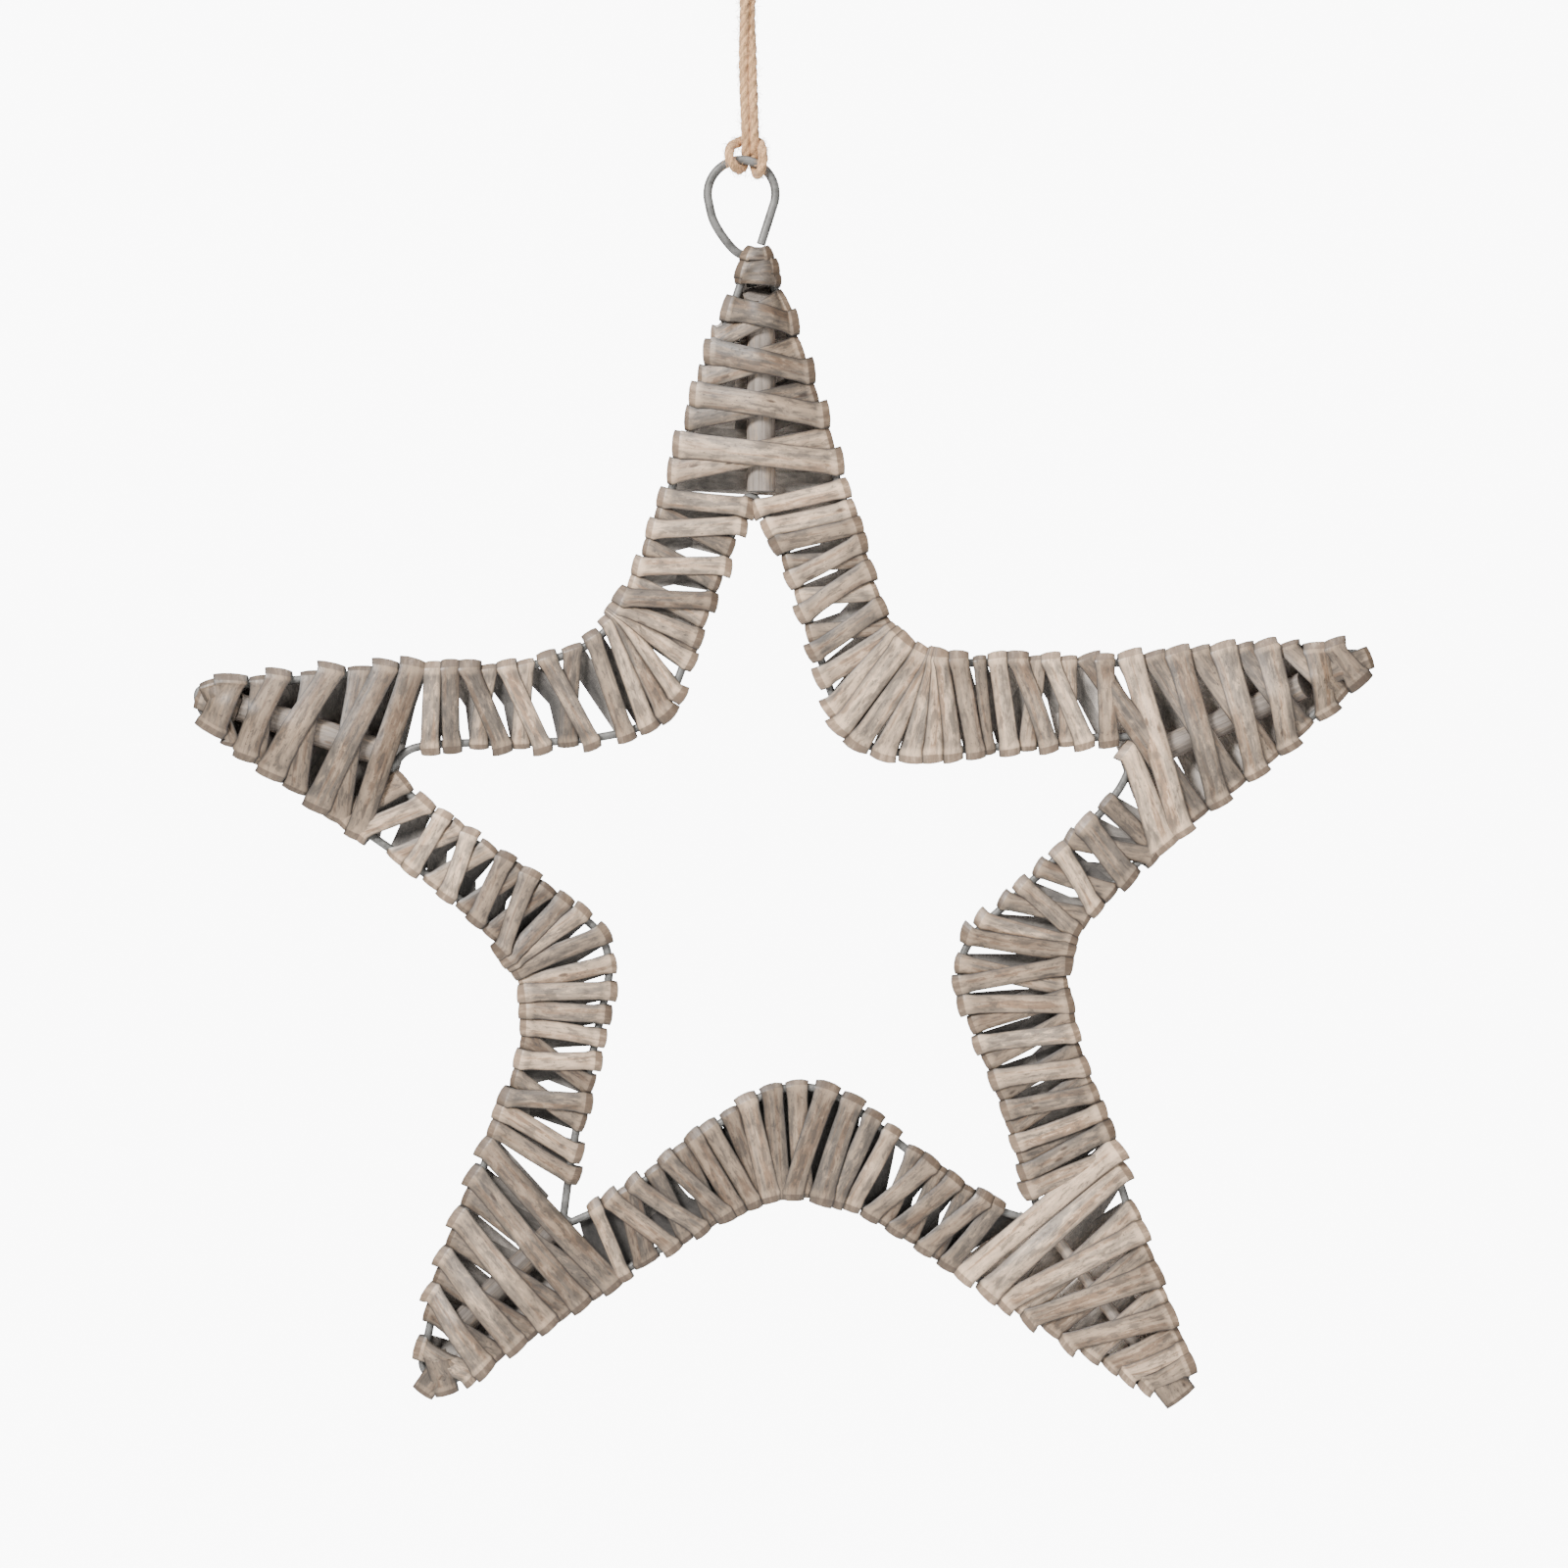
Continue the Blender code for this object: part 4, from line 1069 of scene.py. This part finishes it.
class Sheet:
    """Lengths of strip, each as rows of points along its inner face, with what its surface needs to know."""

    def __init__(self, seed, pocket=0.0):
        self.seed = seed
        self.pocket = pocket
        self.lengths = []
        self.run = 0.0

    def begin(self):
        self.lengths.append([])

    def add(self, points, rises, width, look):
        """A row of points; look holds its tone, warmth and painted fold shading."""
        rows = self.lengths[-1]
        if rows:
            middle = len(points) // 2
            self.run += (points[middle] - rows[-1][0][middle]).length
        rows.append((points, rises, width, look, self.run))

    def mesh(self, name):
        wide = len(ACROSS)
        corners = []
        faces = []
        told = {"rise": [], "across": [], "edge": [], "pocket": [], "grain_place": [], "strip_look": []}
        for rows in self.lengths:
            start = len(corners)
            facing = 0.0
            quads = []
            for row, (points, rises, width, look, run) in enumerate(rows):
                for step, (spot, lift) in enumerate(zip(ACROSS, rises)):
                    told["rise"].extend(lift)
                    told["across"].append(spot)
                    told["edge"].append(abs(spot))
                    told["pocket"].append(self.pocket)
                    told["grain_place"].extend((spot * width / 2 * MILLIMETRES, run * MILLIMETRES,
                                                self.seed * SEED_SHIFT))
                    told["strip_look"].extend(look)
                    if row and step:
                        here = start + row * wide + step
                        quads.append((here - wide - 1, here - wide, here, here - 1))
                        before = rows[row - 1][0]
                        side = before[step] - before[step - 1]
                        facing += side.cross(points[step - 1] - before[step - 1]).dot(lift)
                corners += points
            faces += [quad if facing > 0 else quad[::-1] for quad in quads]
        mesh = bpy.data.meshes.new(name)
        mesh.from_pydata(corners, [], faces)
        for label, values in told.items():
            single = len(values) == len(corners)
            kept = mesh.attributes.new(label, "FLOAT" if single else "FLOAT_VECTOR", "POINT")
            kept.data.foreach_set("value" if single else "vector", values)
        return mesh


def fold_arc(side):
    """The way it faces, how far out and back it stands and its painted shading at each row round a fold."""
    return [(math.radians(facing * side), out, back * side, fold_shading) for out, back, facing, fold_shading in FOLD_PROFILE]


def facing_out(outward, angle):
    """The outward direction turned towards the back by an angle."""
    return (outward * math.cos(angle) + Vector((0, math.sin(angle), 0))).normalized()


class Fold:
    """One fold of a strip over a wire, with its place, its width and the ways in and out of it."""

    def __init__(self, rails, which, turn, squareness):
        self.squareness = squareness
        self.rail = rails[which]
        self.level = turn.level
        self.place = turn.places[which]
        self.width = turn.widths[which]
        self.lap = turn.laps[which]
        self.point, self.along, self.outward = self.rail.at(self.place)
        self.coming = self.leaving = None

    def crease(self, offset):
        """How far out of the wire's line the fold stands at an offset along the wire."""
        tilt = self.coming - self.leaving
        lean = tilt.dot(self.along) / max(tilt.dot(self.outward), LEAST_OUTWARD)
        lean = clamped(lean, -MOST_LEAN, MOST_LEAN)
        return self.squareness * (abs(lean) * self.width / 2 - lean * offset)

    def rows(self, enters_back, back_lift):
        """Rows of points and rises round the fold, each with its painted shading."""
        arc = fold_arc(-1 if enters_back else 1)
        slide_in = self.coming / max(self.coming.dot(self.outward), LEAST_OUTWARD)
        slide_out = -self.leaving / max(-self.leaving.dot(self.outward), LEAST_OUTWARD)
        rows = []
        for index, (angle, out, back, fold_shading) in enumerate(arc):
            through = index / (len(arc) - 1)
            slide = slide_in * (1 - through) + slide_out * through
            lifted = back_lift * (1 + math.sin(angle)) / 2
            points = []
            rises = []
            for spot in ACROSS:
                offset = spot * self.width / 2
                point, _, outward = self.rail.at(self.place + offset)
                reach = self.level + self.lap[0] + (self.lap[1] - self.lap[0]) * (spot + 1) / 2
                points.append(point + outward * reach * out + Vector((0, reach * back + lifted, 0))
                              + slide * self.crease(offset))
                rises.append(facing_out(outward, angle))
            rows.append((points, rises, fold_shading))
        return rows


def pass_rows(first, last, side, level, crown, rng, steps, back_lift, breadth=1.0):
    """Rows between two folds' nearest rows, straight or drawn over a rod, with a little give."""
    bow = rng.uniform(0.0, PASS_GIVE)
    sway = rng.uniform(-PASS_GIVE, PASS_GIVE)
    wide = len(ACROSS)
    middle = wide // 2
    ahead = (last[middle] - first[middle]).normalized()
    aside = Vector((-ahead.z, 0, ahead.x))
    profiles = []
    for a, b in zip(first, last):
        ends = (abs(a.y) - back_lift, abs(b.y) - back_lift, level)
        if crown:
            profiles.append(crown.profile(a, b, ends, steps))
        else:
            profiles.append([ends[0] + (ends[1] - ends[0]) * step / steps for step in range(steps + 1)])
    rows = [first]
    for step in range(1, steps):
        t = step / steps
        arch = math.sin(math.pi * t)
        centre = first[middle] + (last[middle] - first[middle]) * t + aside * sway * arch
        points = []
        for a, b, profile in zip(first, last, profiles):
            point = a + (b - a) * t + aside * sway * arch
            point += (point - centre) * (breadth - 1) * min(1.0, 3 * arch)
            point.y = side * (profile[step] + back_lift + bow * arch)
            points.append(point)
        rows.append(points)
    rows.append(last)
    shaped = []
    for step, (before, points, after) in enumerate(zip(rows, rows[1:], rows[2:]), start=1):
        rises = []
        for spot in range(wide):
            near, far = max(spot - 1, 0), min(spot + 1, wide - 1)
            rise = (after[spot] - before[spot]).cross(points[far] - points[near]).normalized()
            rises.append(rise if rise.y * side > 0 else -rise)
        shaped.append((points, rises, step / steps))
    return shaped


def add_tail(sheet, row, towards, width, tint, reverse):
    """Adds a strip's end, which is tucked behind from a fold's row towards the other wire."""
    tail = []
    for step in range(TAIL_STEPS + 1):
        t = step / TAIL_STEPS
        sink = towards * TAIL_SHARE * t + Vector((0, -TAIL_SINK * t, 0))
        tail.append([point + sink for point in row])
    for points in (tail[::-1] if reverse else tail):
        sheet.add(points, [Vector((0, 1, 0))] * len(ACROSS), width, (*tint, FLAT_FOLD_SHADING))


def wind(seed, rails, turns, near, look, crown=None, back_lift=0.0, back_share=1.0):
    """The sheets, by piece, of a strip wound round two rails turn after turn.

    Each front pass runs from the near rail to the far one, and each back pass on to the next turn. The look
    is the strip's tone and warmth and how much painted light its closed pockets get.
    """
    rng = random.Random(seed)
    tone, warmth, pocket = look
    folds = [Fold(rails, which, turn, TIP_CREASE if crown else LEG_CREASE)
             for turn in turns for which in (near, 1 - near)]
    for before, after in zip(folds, folds[1:]):
        before.leaving = after.coming = (after.point - before.point).normalized()
    folds[0].coming = -folds[0].leaving
    folds[-1].leaving = -folds[-1].coming
    rows = [fold.rows(index % 2 == 0, back_lift) for index, fold in enumerate(folds)]
    steps = TIP_STEPS if crown else LEG_STEPS
    sheets = {turn.piece: Sheet(seed + index, pocket) for index, turn in enumerate(turns)}
    tints = [(clamped(tone + rng.uniform(-TONE_SPREAD, TONE_SPREAD)),
              clamped(warmth + rng.uniform(-WARMTH_SPREAD, WARMTH_SPREAD))) for _ in range(len(folds) + 1)]

    for index, fold in enumerate(folds):
        here, onward = tints[index], tints[index + 1]
        behind = index % 2 == 1
        sheet = sheets[turns[index // 2].piece]
        if not behind:
            sheet.begin()
        if index == 0:
            add_tail(sheet, rows[0][0][0], folds[1].point - fold.point, fold.width, here, True)
        for step, (points, rises, fold_shading) in enumerate(rows[index]):
            if index == 0 and step == 0:
                continue
            through = step / (len(FOLD_PROFILE) - 1)
            tint = [a + (b - a) * through for a, b in zip(here, onward)]
            sheet.add(points, rises, fold.width, (*tint, fold_shading))
        if index + 1 == len(folds):
            add_tail(sheet, rows[-1][-1][0], folds[-2].point - fold.point, fold.width, onward, False)
            break
        after = folds[index + 1]
        span = (after.point - fold.point).length
        passes = pass_rows(rows[index][-1][0], rows[index + 1][0][0], 1 if behind else -1, fold.level, crown,
                           rng, steps, back_lift if behind else 0.0, back_share if behind else WAIST_SHARE)
        for points, rises, t in passes:
            # Painted highlight near the folds' shoulders
            fold_shading = math.exp(-min(t, 1 - t) * span / SHOULDER_HIGHLIGHT_REACH)
            # Painted light in the pass's middle and painted shade towards its folds
            glow = MIDDLE_GLOW * (math.sin(math.pi * t) - GLOW_DIP)
            sheet.add(points, rises, fold.width + (after.width - fold.width) * t,
                      (clamped(onward[0] + glow), onward[1], fold_shading))
        if behind:
            points, rises, _ = rows[index + 1][0]
            sheet.add(points, rises, after.width, (*onward, 1.0))
    return sheets


def line_behind(sheet, rails, pair, level, crown, rng, look):
    """Adds a length of strip that only crosses behind the wires, its ends held by other turns' folds."""
    ends = []
    for rail, place in zip(rails, pair):
        spots = [(place + spot * pair[2] / 2) * GRID for spot in ACROSS]
        ends.append([rail.at(spot)[0] + Vector((0, level, 0)) for spot in spots])
    width = pair[2] * GRID
    flat = [Vector((0, 1, 0))] * len(ACROSS)
    sheet.begin()
    sheet.add(ends[0], flat, width, look)
    for points, rises, _ in pass_rows(*ends, 1, level, crown, rng, TIP_STEPS, 0.0):
        sheet.add(points, rises, width, look)
    sheet.add(ends[1], flat, width, look)


def cap_end(sheet, spot, degrees, width, level, tint):
    """Adds a length of strip drawn from the front over the tip's end to the back."""
    angle = math.radians(degrees)
    outward = Vector((math.cos(angle), 0, math.sin(angle)))
    across = Vector((-outward.z, 0, outward.x))
    line = []
    for step in range(CAP_STEPS + 1):
        back_off = CAP_FRONT * (1 - step / CAP_STEPS)
        lift = CAP_LIFT * min(1.0, back_off / CAP_LIFT_FADE)
        # Rows in front of the fold, with a painted highlight near it
        line.append((-outward * back_off - Vector((0, level + lift, 0)), Vector((0, -1, 0)),
                     math.exp(-back_off / SHOULDER_HIGHLIGHT_REACH)))
    for turn, out, back, fold_shading in fold_arc(1):
        line.append((outward * level * out + Vector((0, level * back, 0)), facing_out(outward, turn), fold_shading))
    for step in range(1, CAP_STEPS + 1):
        line.append((-outward * CAP_BACK * step / CAP_STEPS + Vector((0, level, 0)), Vector((0, 1, 0)),
                     CAP_BACK_FOLD_SHADING))
    sheet.begin()
    for place, rise, fold_shading in line:
        points = [spot + place + across * side * width / 2 for side in ACROSS]
        sheet.add(points, [rise] * len(ACROSS), width, (*tint, fold_shading))


def layer_levels():
    """How far each layer's inner face stands off the wires' plane."""
    size = sizes()
    under = size.wire_diameter / 2 + UNDER_LEVEL
    return {"under": under, "over": under + size.strip_thickness + UNDER_LEVEL}


def strip_piece(node, sheet, layer):
    """The finished piece of a sheet, in place of its node's plain solid."""
    size = sizes()
    name = f"{node}_split"
    piece = grown(name, sheet.mesh(name), one_tree("Split willow", split_willow_tree), {
        "Thickness": size.strip_thickness, "Edge Share": size.strip_edge, "Seed": float(sheet.seed),
        "Material": strip_material(layer)})
    piece.data.shade_smooth()
    piece.data.set_sharp_from_angle(angle=math.radians(STRIP_SHARP_ANGLE))
    settle(piece, f"willow_{layer}_strips", node)


def wind_strips(parts, rails, width, near, seeds, look, crown=None, back_share=1.0):
    """Winds both layers of some parts along their rails, adds their linings and makes a piece of each."""
    levels = layer_levels()
    width_seed, wind_seed, lining_seed = seeds
    wound = []
    for layer in LAYER_PAINTED_LIGHTNESS:
        turns = [Turn(f"{name}_{layer}_strip", levels[layer], pair)
                 for name, layers in parts.items() for pair in layers[layer]]
        lay_turns(rails, turns, width, random.Random(width_seed))
        wound += turns
    wound.sort(key=lambda turn: turn.places[0])
    sheets = wind(wind_seed, rails, wound, near, look, crown, back_share=back_share)
    for name, layers in parts.items():
        for pair in layers.get("lining", ()):
            line_behind(sheets[f"{name}_under_strip"], rails, pair, levels["under"], crown,
                        random.Random(lining_seed), (*look[:2], FLAT_FOLD_SHADING))
    for node, sheet in sheets.items():
        strip_piece(node, sheet, node.split("_")[-2])


def numbered_seeds(seeds, number):
    """A leg's or a tip's own seeds for its widths, its winding and its linings."""
    return seeds[0] + number, seeds[1] + PIECE_SEEDS * number, seeds[2] + number


def bind_tip(name, number, rails, crown):
    """Winds the short strips that close a tip, and draws its caps over them."""
    tip = TIPS[name]
    levels = layer_levels()
    node = f"{name}_tip_binding"
    tone, warmth, _ = tip["look"]
    width_seed, wind_seed = (seed + number for seed in BINDING_SEEDS)
    sheets = {node: Sheet(wind_seed)}
    if name == "top":
        # This binding also holds the ring's end, which lies behind the wires
        bound, lift = levels["under"] + RING_BINDING_GAP, sizes().wire_diameter - RING_BINDING_SINK
        look = (tone - RING_BINDING_DROPS[0], warmth - RING_BINDING_DROPS[1], 0.0)
    else:
        bound, lift = levels["over"] + BINDING_GAP, 0.0
        look = (tone - BINDING_TONE_DROP, warmth, 0.0)
    if tip["binding"]:
        turns = [Turn(node, bound, pair) for pair in tip["binding"]]
        lay_turns(rails, turns, sizes().binding_width, random.Random(width_seed))
        sheets = wind(wind_seed, rails, turns, 0, look, crown, lift)
    for count, (right, up, degrees, breadth) in enumerate(tip["caps"]):
        cap_end(sheets[node], grid_point((right, up)), degrees, breadth * GRID,
                levels["under"] + CAP_LEVEL_STEP * count,
                (tone - CAP_TONE_DROP + CAP_TONE_STEP * count, warmth))
    strip_piece(node, sheets[node], "over")


# String and rods

def knot_line():
    """The string's overhand knot: turns round its own two strands just over the hanging point."""
    line = []
    for step in range(KNOT_STEPS + 1):
        t = step / KNOT_STEPS
        angle = math.tau * KNOT_TURNS * t + KNOT_START_ANGLE
        radius = KNOT_RADIUS + KNOT_BULGE * math.sin(math.pi * t)
        height = KNOT_BOTTOM + KNOT_RISE * t + KNOT_WAVE * math.sin(angle)
        line.append(Vector((radius * math.cos(angle), KNOT_FLATNESS * radius * math.sin(angle), height)))
    return line


def knot_ends():
    """The two short ends that come out of the knot's top."""
    ends = []
    for side, lean, twist in ((-1, 0.34, 0.0008), (1, 0.29, -0.0006)):
        line = []
        for step in range(KNOT_END_STEPS + 1):
            t = step / KNOT_END_STEPS
            reach = KNOT_END_LENGTH * t
            line.append(Vector((side * (KNOT_END_START[0] + lean * reach * t), twist * math.sin(3 * t),
                                KNOT_END_START[1] + reach)))
        ends.append(line)
    return ends


def joined(name, parts):
    """One object of several parts' meshes."""
    builder = bmesh.new()
    for part in parts:
        builder.from_mesh(part.data)
    mesh = bpy.data.meshes.new(name)
    builder.to_mesh(mesh)
    builder.free()
    mesh.materials.append(parts[0].data.materials[0])
    for part in parts:
        bpy.data.objects.remove(part, do_unlink=True)
    return placed(name, mesh)


def rod_mesh(name, start, end, diameter, flare, shade, seed):
    """A slightly crooked round rod that may flare at its outer end, which is cut on a slant to the front."""
    length = (end - start).length
    aim = (start - end).to_track_quat("Z", "Y").to_matrix().to_4x4()
    builder = bmesh.new()
    flag = builder.verts.layers.float.new("cut_end")
    place = builder.verts.layers.float_vector.new("grain_place")

    def bridge(base, ring, forwards=True):
        for side in range(ROD_SIDES):
            after = (side + 1) % ROD_SIDES
            quad = (base[side], base[after], ring[after], ring[side])
            builder.faces.new(quad if forwards else quad[::-1])

    rings = []
    for step in range(ROD_STEPS + 1):
        t = step / ROD_STEPS
        wider = 1 + (flare - 1) * max(0.0, 1 - (1 - t) * length / ROD_FLARE_REACH) ** 1.5
        ring = []
        for side in range(ROD_SIDES):
            angle = math.tau * side / ROD_SIDES
            wobble = noise.noise(Vector((math.cos(angle), math.sin(angle), t * 4 + seed * 9)))
            radius = diameter / 2 * (0.97 + ROD_TAPER * t + ROD_WOBBLE * wobble) * wider
            vert = builder.verts.new((radius * math.cos(angle), radius * math.sin(angle), (t - 0.5) * length))
            vert[place] = (side / ROD_SIDES * diameter * 3.14 * MILLIMETRES, t * length * MILLIMETRES,
                           seed * ROD_SEED_SHIFT)
            ring.append(vert)
        rings.append(ring)
    for lower, upper in zip(rings, rings[1:]):
        bridge(lower, upper)
    front = aim.to_3x3().inverted() @ Vector((0, -1, 0))
    for step in range(ROD_SLANTED_STEPS):
        for vert in rings[-1 - step]:
            share = 1 - step / ROD_SLANTED_STEPS
            vert.co.z -= ROD_SLANT * share * (vert.co.dot(front) + diameter / 2)
    for outermost, forwards in ((rings[0], False), (rings[-1], True)):
        middle = sum((vert.co for vert in outermost), Vector()) / ROD_SIDES
        base = outermost
        for share in ROD_END_RINGS:
            ring = [builder.verts.new(middle + (vert.co - middle) * share) for vert in outermost]
            for vert in ring:
                vert[flag] = 1.0
            bridge(base, ring, forwards)
            base = ring
        builder.faces.new(base if forwards else base[::-1])
    bmesh.ops.transform(builder, matrix=Matrix.Translation((start + end) / 2) @ aim, verts=builder.verts)
    bmesh.ops.recalc_face_normals(builder, faces=builder.faces)
    mesh = bpy.data.meshes.new(name)
    builder.to_mesh(mesh)
    builder.free()
    toned = mesh.attributes.new("rod_shade", "FLOAT", "POINT")
    toned.data.foreach_set("value", [shade] * len(mesh.vertices))
    mesh.shade_smooth()
    mesh.set_sharp_from_angle(angle=math.radians(ROD_SHARP_ANGLE))
    return mesh


# Operators

class WICKERSTAR_OT_string(bpy.types.Operator):
    """Ties the jute string on the ring and knots it at the hanging point"""
    bl_idname = "wickerstar.string"
    bl_label = "Tie the jute string"

    def execute(self, context):
        size = sizes()
        route = smooth_line([Vector(spot) / 1000 for spot in STRING_ROUTE], steps=8)
        tree = one_tree("Laid string", laid_string_tree)
        values = {"Diameter": size.string_diameter * STRING_FULLNESS, "Yarns": size.string_yarns,
                  "Lay": size.string_lay, "Material": jute_material("laid_jute", 1.0)}
        string = grown("jute_string_laid", polyline("route", route), tree, values)
        settle(string, "jute", "jute_string")

        parts = [grown(f"knot_part_{index}", polyline("knot", line), tree, values)
                 for index, line in enumerate((knot_line(), *knot_ends()))]
        knot = joined("string_knot_tied", parts)
        settle(knot, "jute", "string_knot")

        fuzz = grown("jute_loose_fibres", string.data.copy(), one_tree("Loose fibres", loose_fibre_tree),
                     {"Material": jute_material("loose_jute", FIBRE_LIGHTNESS)})
        settle(fuzz, "jute")
        return {"FINISHED"}


class WICKERSTAR_OT_wires(bpy.types.Operator):
    """Bends the star's two wires and its hanging ring"""
    bl_idname = "wickerstar.wires"
    bl_label = "Bend the wires"

    def execute(self, context):
        outer, inner = star_rails()
        tree = one_tree("Round wire", round_wire_tree)
        values = {"Sides": WIRE_SIDES, "Material": galvanised_material()}
        for name, line, closed, share in (("outer_wire", wire_loop(list(outer.values())), True, 1.0),
                                          ("inner_wire", wire_loop(list(inner.values())), True, 1.0),
                                          ("hanging_ring", ring_line(), False, RING_FULLNESS)):
            piece = grown(f"{name}_round", polyline(name, line, closed), tree,
                          {**values, "Diameter": sizes().wire_diameter * share})
            piece.data.set_sharp_from_angle(angle=math.radians(WIRE_SHARP_ANGLE))
            settle(piece, "galvanised_wire", name)
        return {"FINISHED"}


class WICKERSTAR_OT_rods(bpy.types.Operator):
    """Lays a willow rod in each tip"""
    bl_idname = "wickerstar.rods"
    bl_label = "Lay the rods"

    def execute(self, context):
        material = rod_material()
        for seed, (name, tip) in enumerate(TIPS.items()):
            start, end, share, shade = tip["rod"]
            mesh = rod_mesh(f"{name}_rod", grid_point(start), grid_point(end),
                            sizes().rod_diameter * share, tip["flare"], shade, seed)
            mesh.materials.append(material)
            settle(placed(f"{name}_tip_willow_rod", mesh), "willow_rods", f"{name}_tip_rod")
        return {"FINISHED"}


class WICKERSTAR_OT_leg_strips(bpy.types.Operator):
    """Winds the split willow on the star's five bands"""
    bl_idname = "wickerstar.leg_strips"
    bl_label = "Wind the bands"

    def execute(self, context):
        outer, inner = star_rails()
        for number, (name, halves) in enumerate(LEG_STRIPS.items()):
            parts = {f"{name}_{half}": layers for half, layers in halves.items()}
            wind_strips(parts, (outer[name], inner[name]), sizes().strip_width, 1,
                        numbered_seeds(LEG_SEEDS, number), LEG_LOOKS[name])
        return {"FINISHED"}


class WICKERSTAR_OT_tip_strips(bpy.types.Operator):
    """Winds and binds the split willow on the star's five tips"""
    bl_idname = "wickerstar.tip_strips"
    bl_label = "Wind the tips"

    def execute(self, context):
        outer, _ = star_rails()
        for number, (name, tip) in enumerate(TIPS.items()):
            ending, starting = tip["runs"]
            rails = (outer[ending].reversed(), outer[starting])
            rod_start, rod_end, share, _ = tip["rod"]
            crown = Crown(grid_point(rod_start), grid_point(rod_end), sizes().rod_diameter * share)
            wind_strips({f"{name}_tip": tip}, rails, tip["width"] * GRID, 0,
                        numbered_seeds(TIP_SEEDS, number), tip["look"], crown, tip["spread"])
            bind_tip(name, number, rails, crown)
        return {"FINISHED"}


class WICKERSTAR_OT_stage(bpy.types.Operator):
    """Sets the pale floor and backdrop, the soft lights and the camera"""
    bl_idname = "wickerstar.stage"
    bl_label = "Set the stage"

    def execute(self, context):
        set_camera(context)
        lay_floor()
        world = bpy.data.worlds.new("studio")
        world.use_nodes = True
        world.node_tree.nodes["Background"].inputs["Color"].default_value = (1, 1, 1, 1)
        world.node_tree.nodes["Background"].inputs["Strength"].default_value = WORLD_STRENGTH
        context.scene.world = world
        for name, place, size, power in LIGHTS:
            data = bpy.data.lights.new(name, "AREA")
            data.size = size
            data.energy = power
            light = placed(name, data)
            light.location = place
            light.rotation_euler = (LIGHT_AIM - Vector(place)).to_track_quat("-Z", "Y").to_euler()
        return {"FINISHED"}


def set_camera(context):
    data = bpy.data.cameras.new("camera")
    data.lens = 100
    data.sensor_width = 36
    data.clip_start = 0.05
    camera = placed("camera", data)
    camera.location = FRAME_MIDDLE - Vector((0, FRAME_WIDTH * data.lens / data.sensor_width, 0))
    camera.rotation_euler = (math.pi / 2, 0, 0)
    context.scene.camera = camera


def lay_floor():
    """A floor that sweeps up into a backdrop far behind the star, which is lit from within."""
    profile = [(-FLOOR_REACH, 0.0), (SWEEP_START, 0.0)]
    for step in range(1, SWEEP_STEPS + 1):
        angle = math.pi / 2 * step / SWEEP_STEPS
        profile.append((SWEEP_START + SWEEP_RADIUS * math.sin(angle),
                        SWEEP_RADIUS - SWEEP_RADIUS * math.cos(angle)))
    profile.append((SWEEP_START + SWEEP_RADIUS, BACKDROP_TOP))
    below = sizes().floor_below
    points = [(side, y, z - below) for y, z in profile for side in (-FLOOR_REACH, FLOOR_REACH)]
    faces = [(2 * step, 2 * step + 1, 2 * step + 3, 2 * step + 2) for step in range(len(profile) - 1)]
    mesh = bpy.data.meshes.new("floor")
    mesh.from_pydata(points, [], faces)
    mesh.shade_smooth()
    material, shade, body = new_material("backdrop")
    spot = shade.add("ShaderNodeSeparateXYZ", i0=shade.object_place())
    behind = shade.mapped(spot.outputs["Y"], 1.2, 2.2)
    wide = shade.mapped(shade.math("ABSOLUTE", spot.outputs["X"]), 3.0, 1.6)
    seen = shade.mapped(shade.add("ShaderNodeLightPath").outputs["Is Camera Ray"], 0.0, 1.0, 0.16, 1.0)
    glow = shade.math("MULTIPLY", shade.math("MULTIPLY", behind, wide),
                      shade.math("MULTIPLY", seen, BACKDROP_GLOW))
    for name, value in (("Base Color", tinted(colours().backdrop)), ("Roughness", 0.9),
                        ("Emission Color", (1, 1, 1, 1)), ("Emission Strength", glow)):
        shade.feed(body.inputs[name], value)
    mesh.materials.append(material)
    placed("floor", mesh)


class WICKERSTAR_PT_panel(bpy.types.Panel):
    bl_idname = "WICKERSTAR_PT_panel"
    bl_label = "Wicker Star"
    bl_space_type = "VIEW_3D"
    bl_region_type = "UI"
    bl_category = "Wicker Star"

    def draw(self, context):
        for group in (context.scene.wicker_star_sizes, context.scene.wicker_star_colours):
            column = self.layout.column(align=True)
            for name in group.__annotations__:
                column.prop(group, name)
        for step in STEPS:
            self.layout.operator(step.bl_idname)


STEPS = (WICKERSTAR_OT_stage, WICKERSTAR_OT_string, WICKERSTAR_OT_wires, WICKERSTAR_OT_rods,
         WICKERSTAR_OT_leg_strips, WICKERSTAR_OT_tip_strips)
CLASSES = (WickerStarSizes, WickerStarColours, *STEPS, WICKERSTAR_PT_panel)


def register():
    for kind in CLASSES:
        bpy.utils.register_class(kind)
    bpy.types.Scene.wicker_star_sizes = PointerProperty(type=WickerStarSizes)
    bpy.types.Scene.wicker_star_colours = PointerProperty(type=WickerStarColours)


def unregister():
    del bpy.types.Scene.wicker_star_colours
    del bpy.types.Scene.wicker_star_sizes
    for kind in reversed(CLASSES):
        bpy.utils.unregister_class(kind)


def main():
    register()
    bpy.ops.wickerstar.stage()
    bpy.ops.wickerstar.string()
    bpy.ops.wickerstar.wires()
    bpy.ops.wickerstar.rods()
    bpy.ops.wickerstar.leg_strips()
    bpy.ops.wickerstar.tip_strips()


if __name__ == "__main__":
    main()
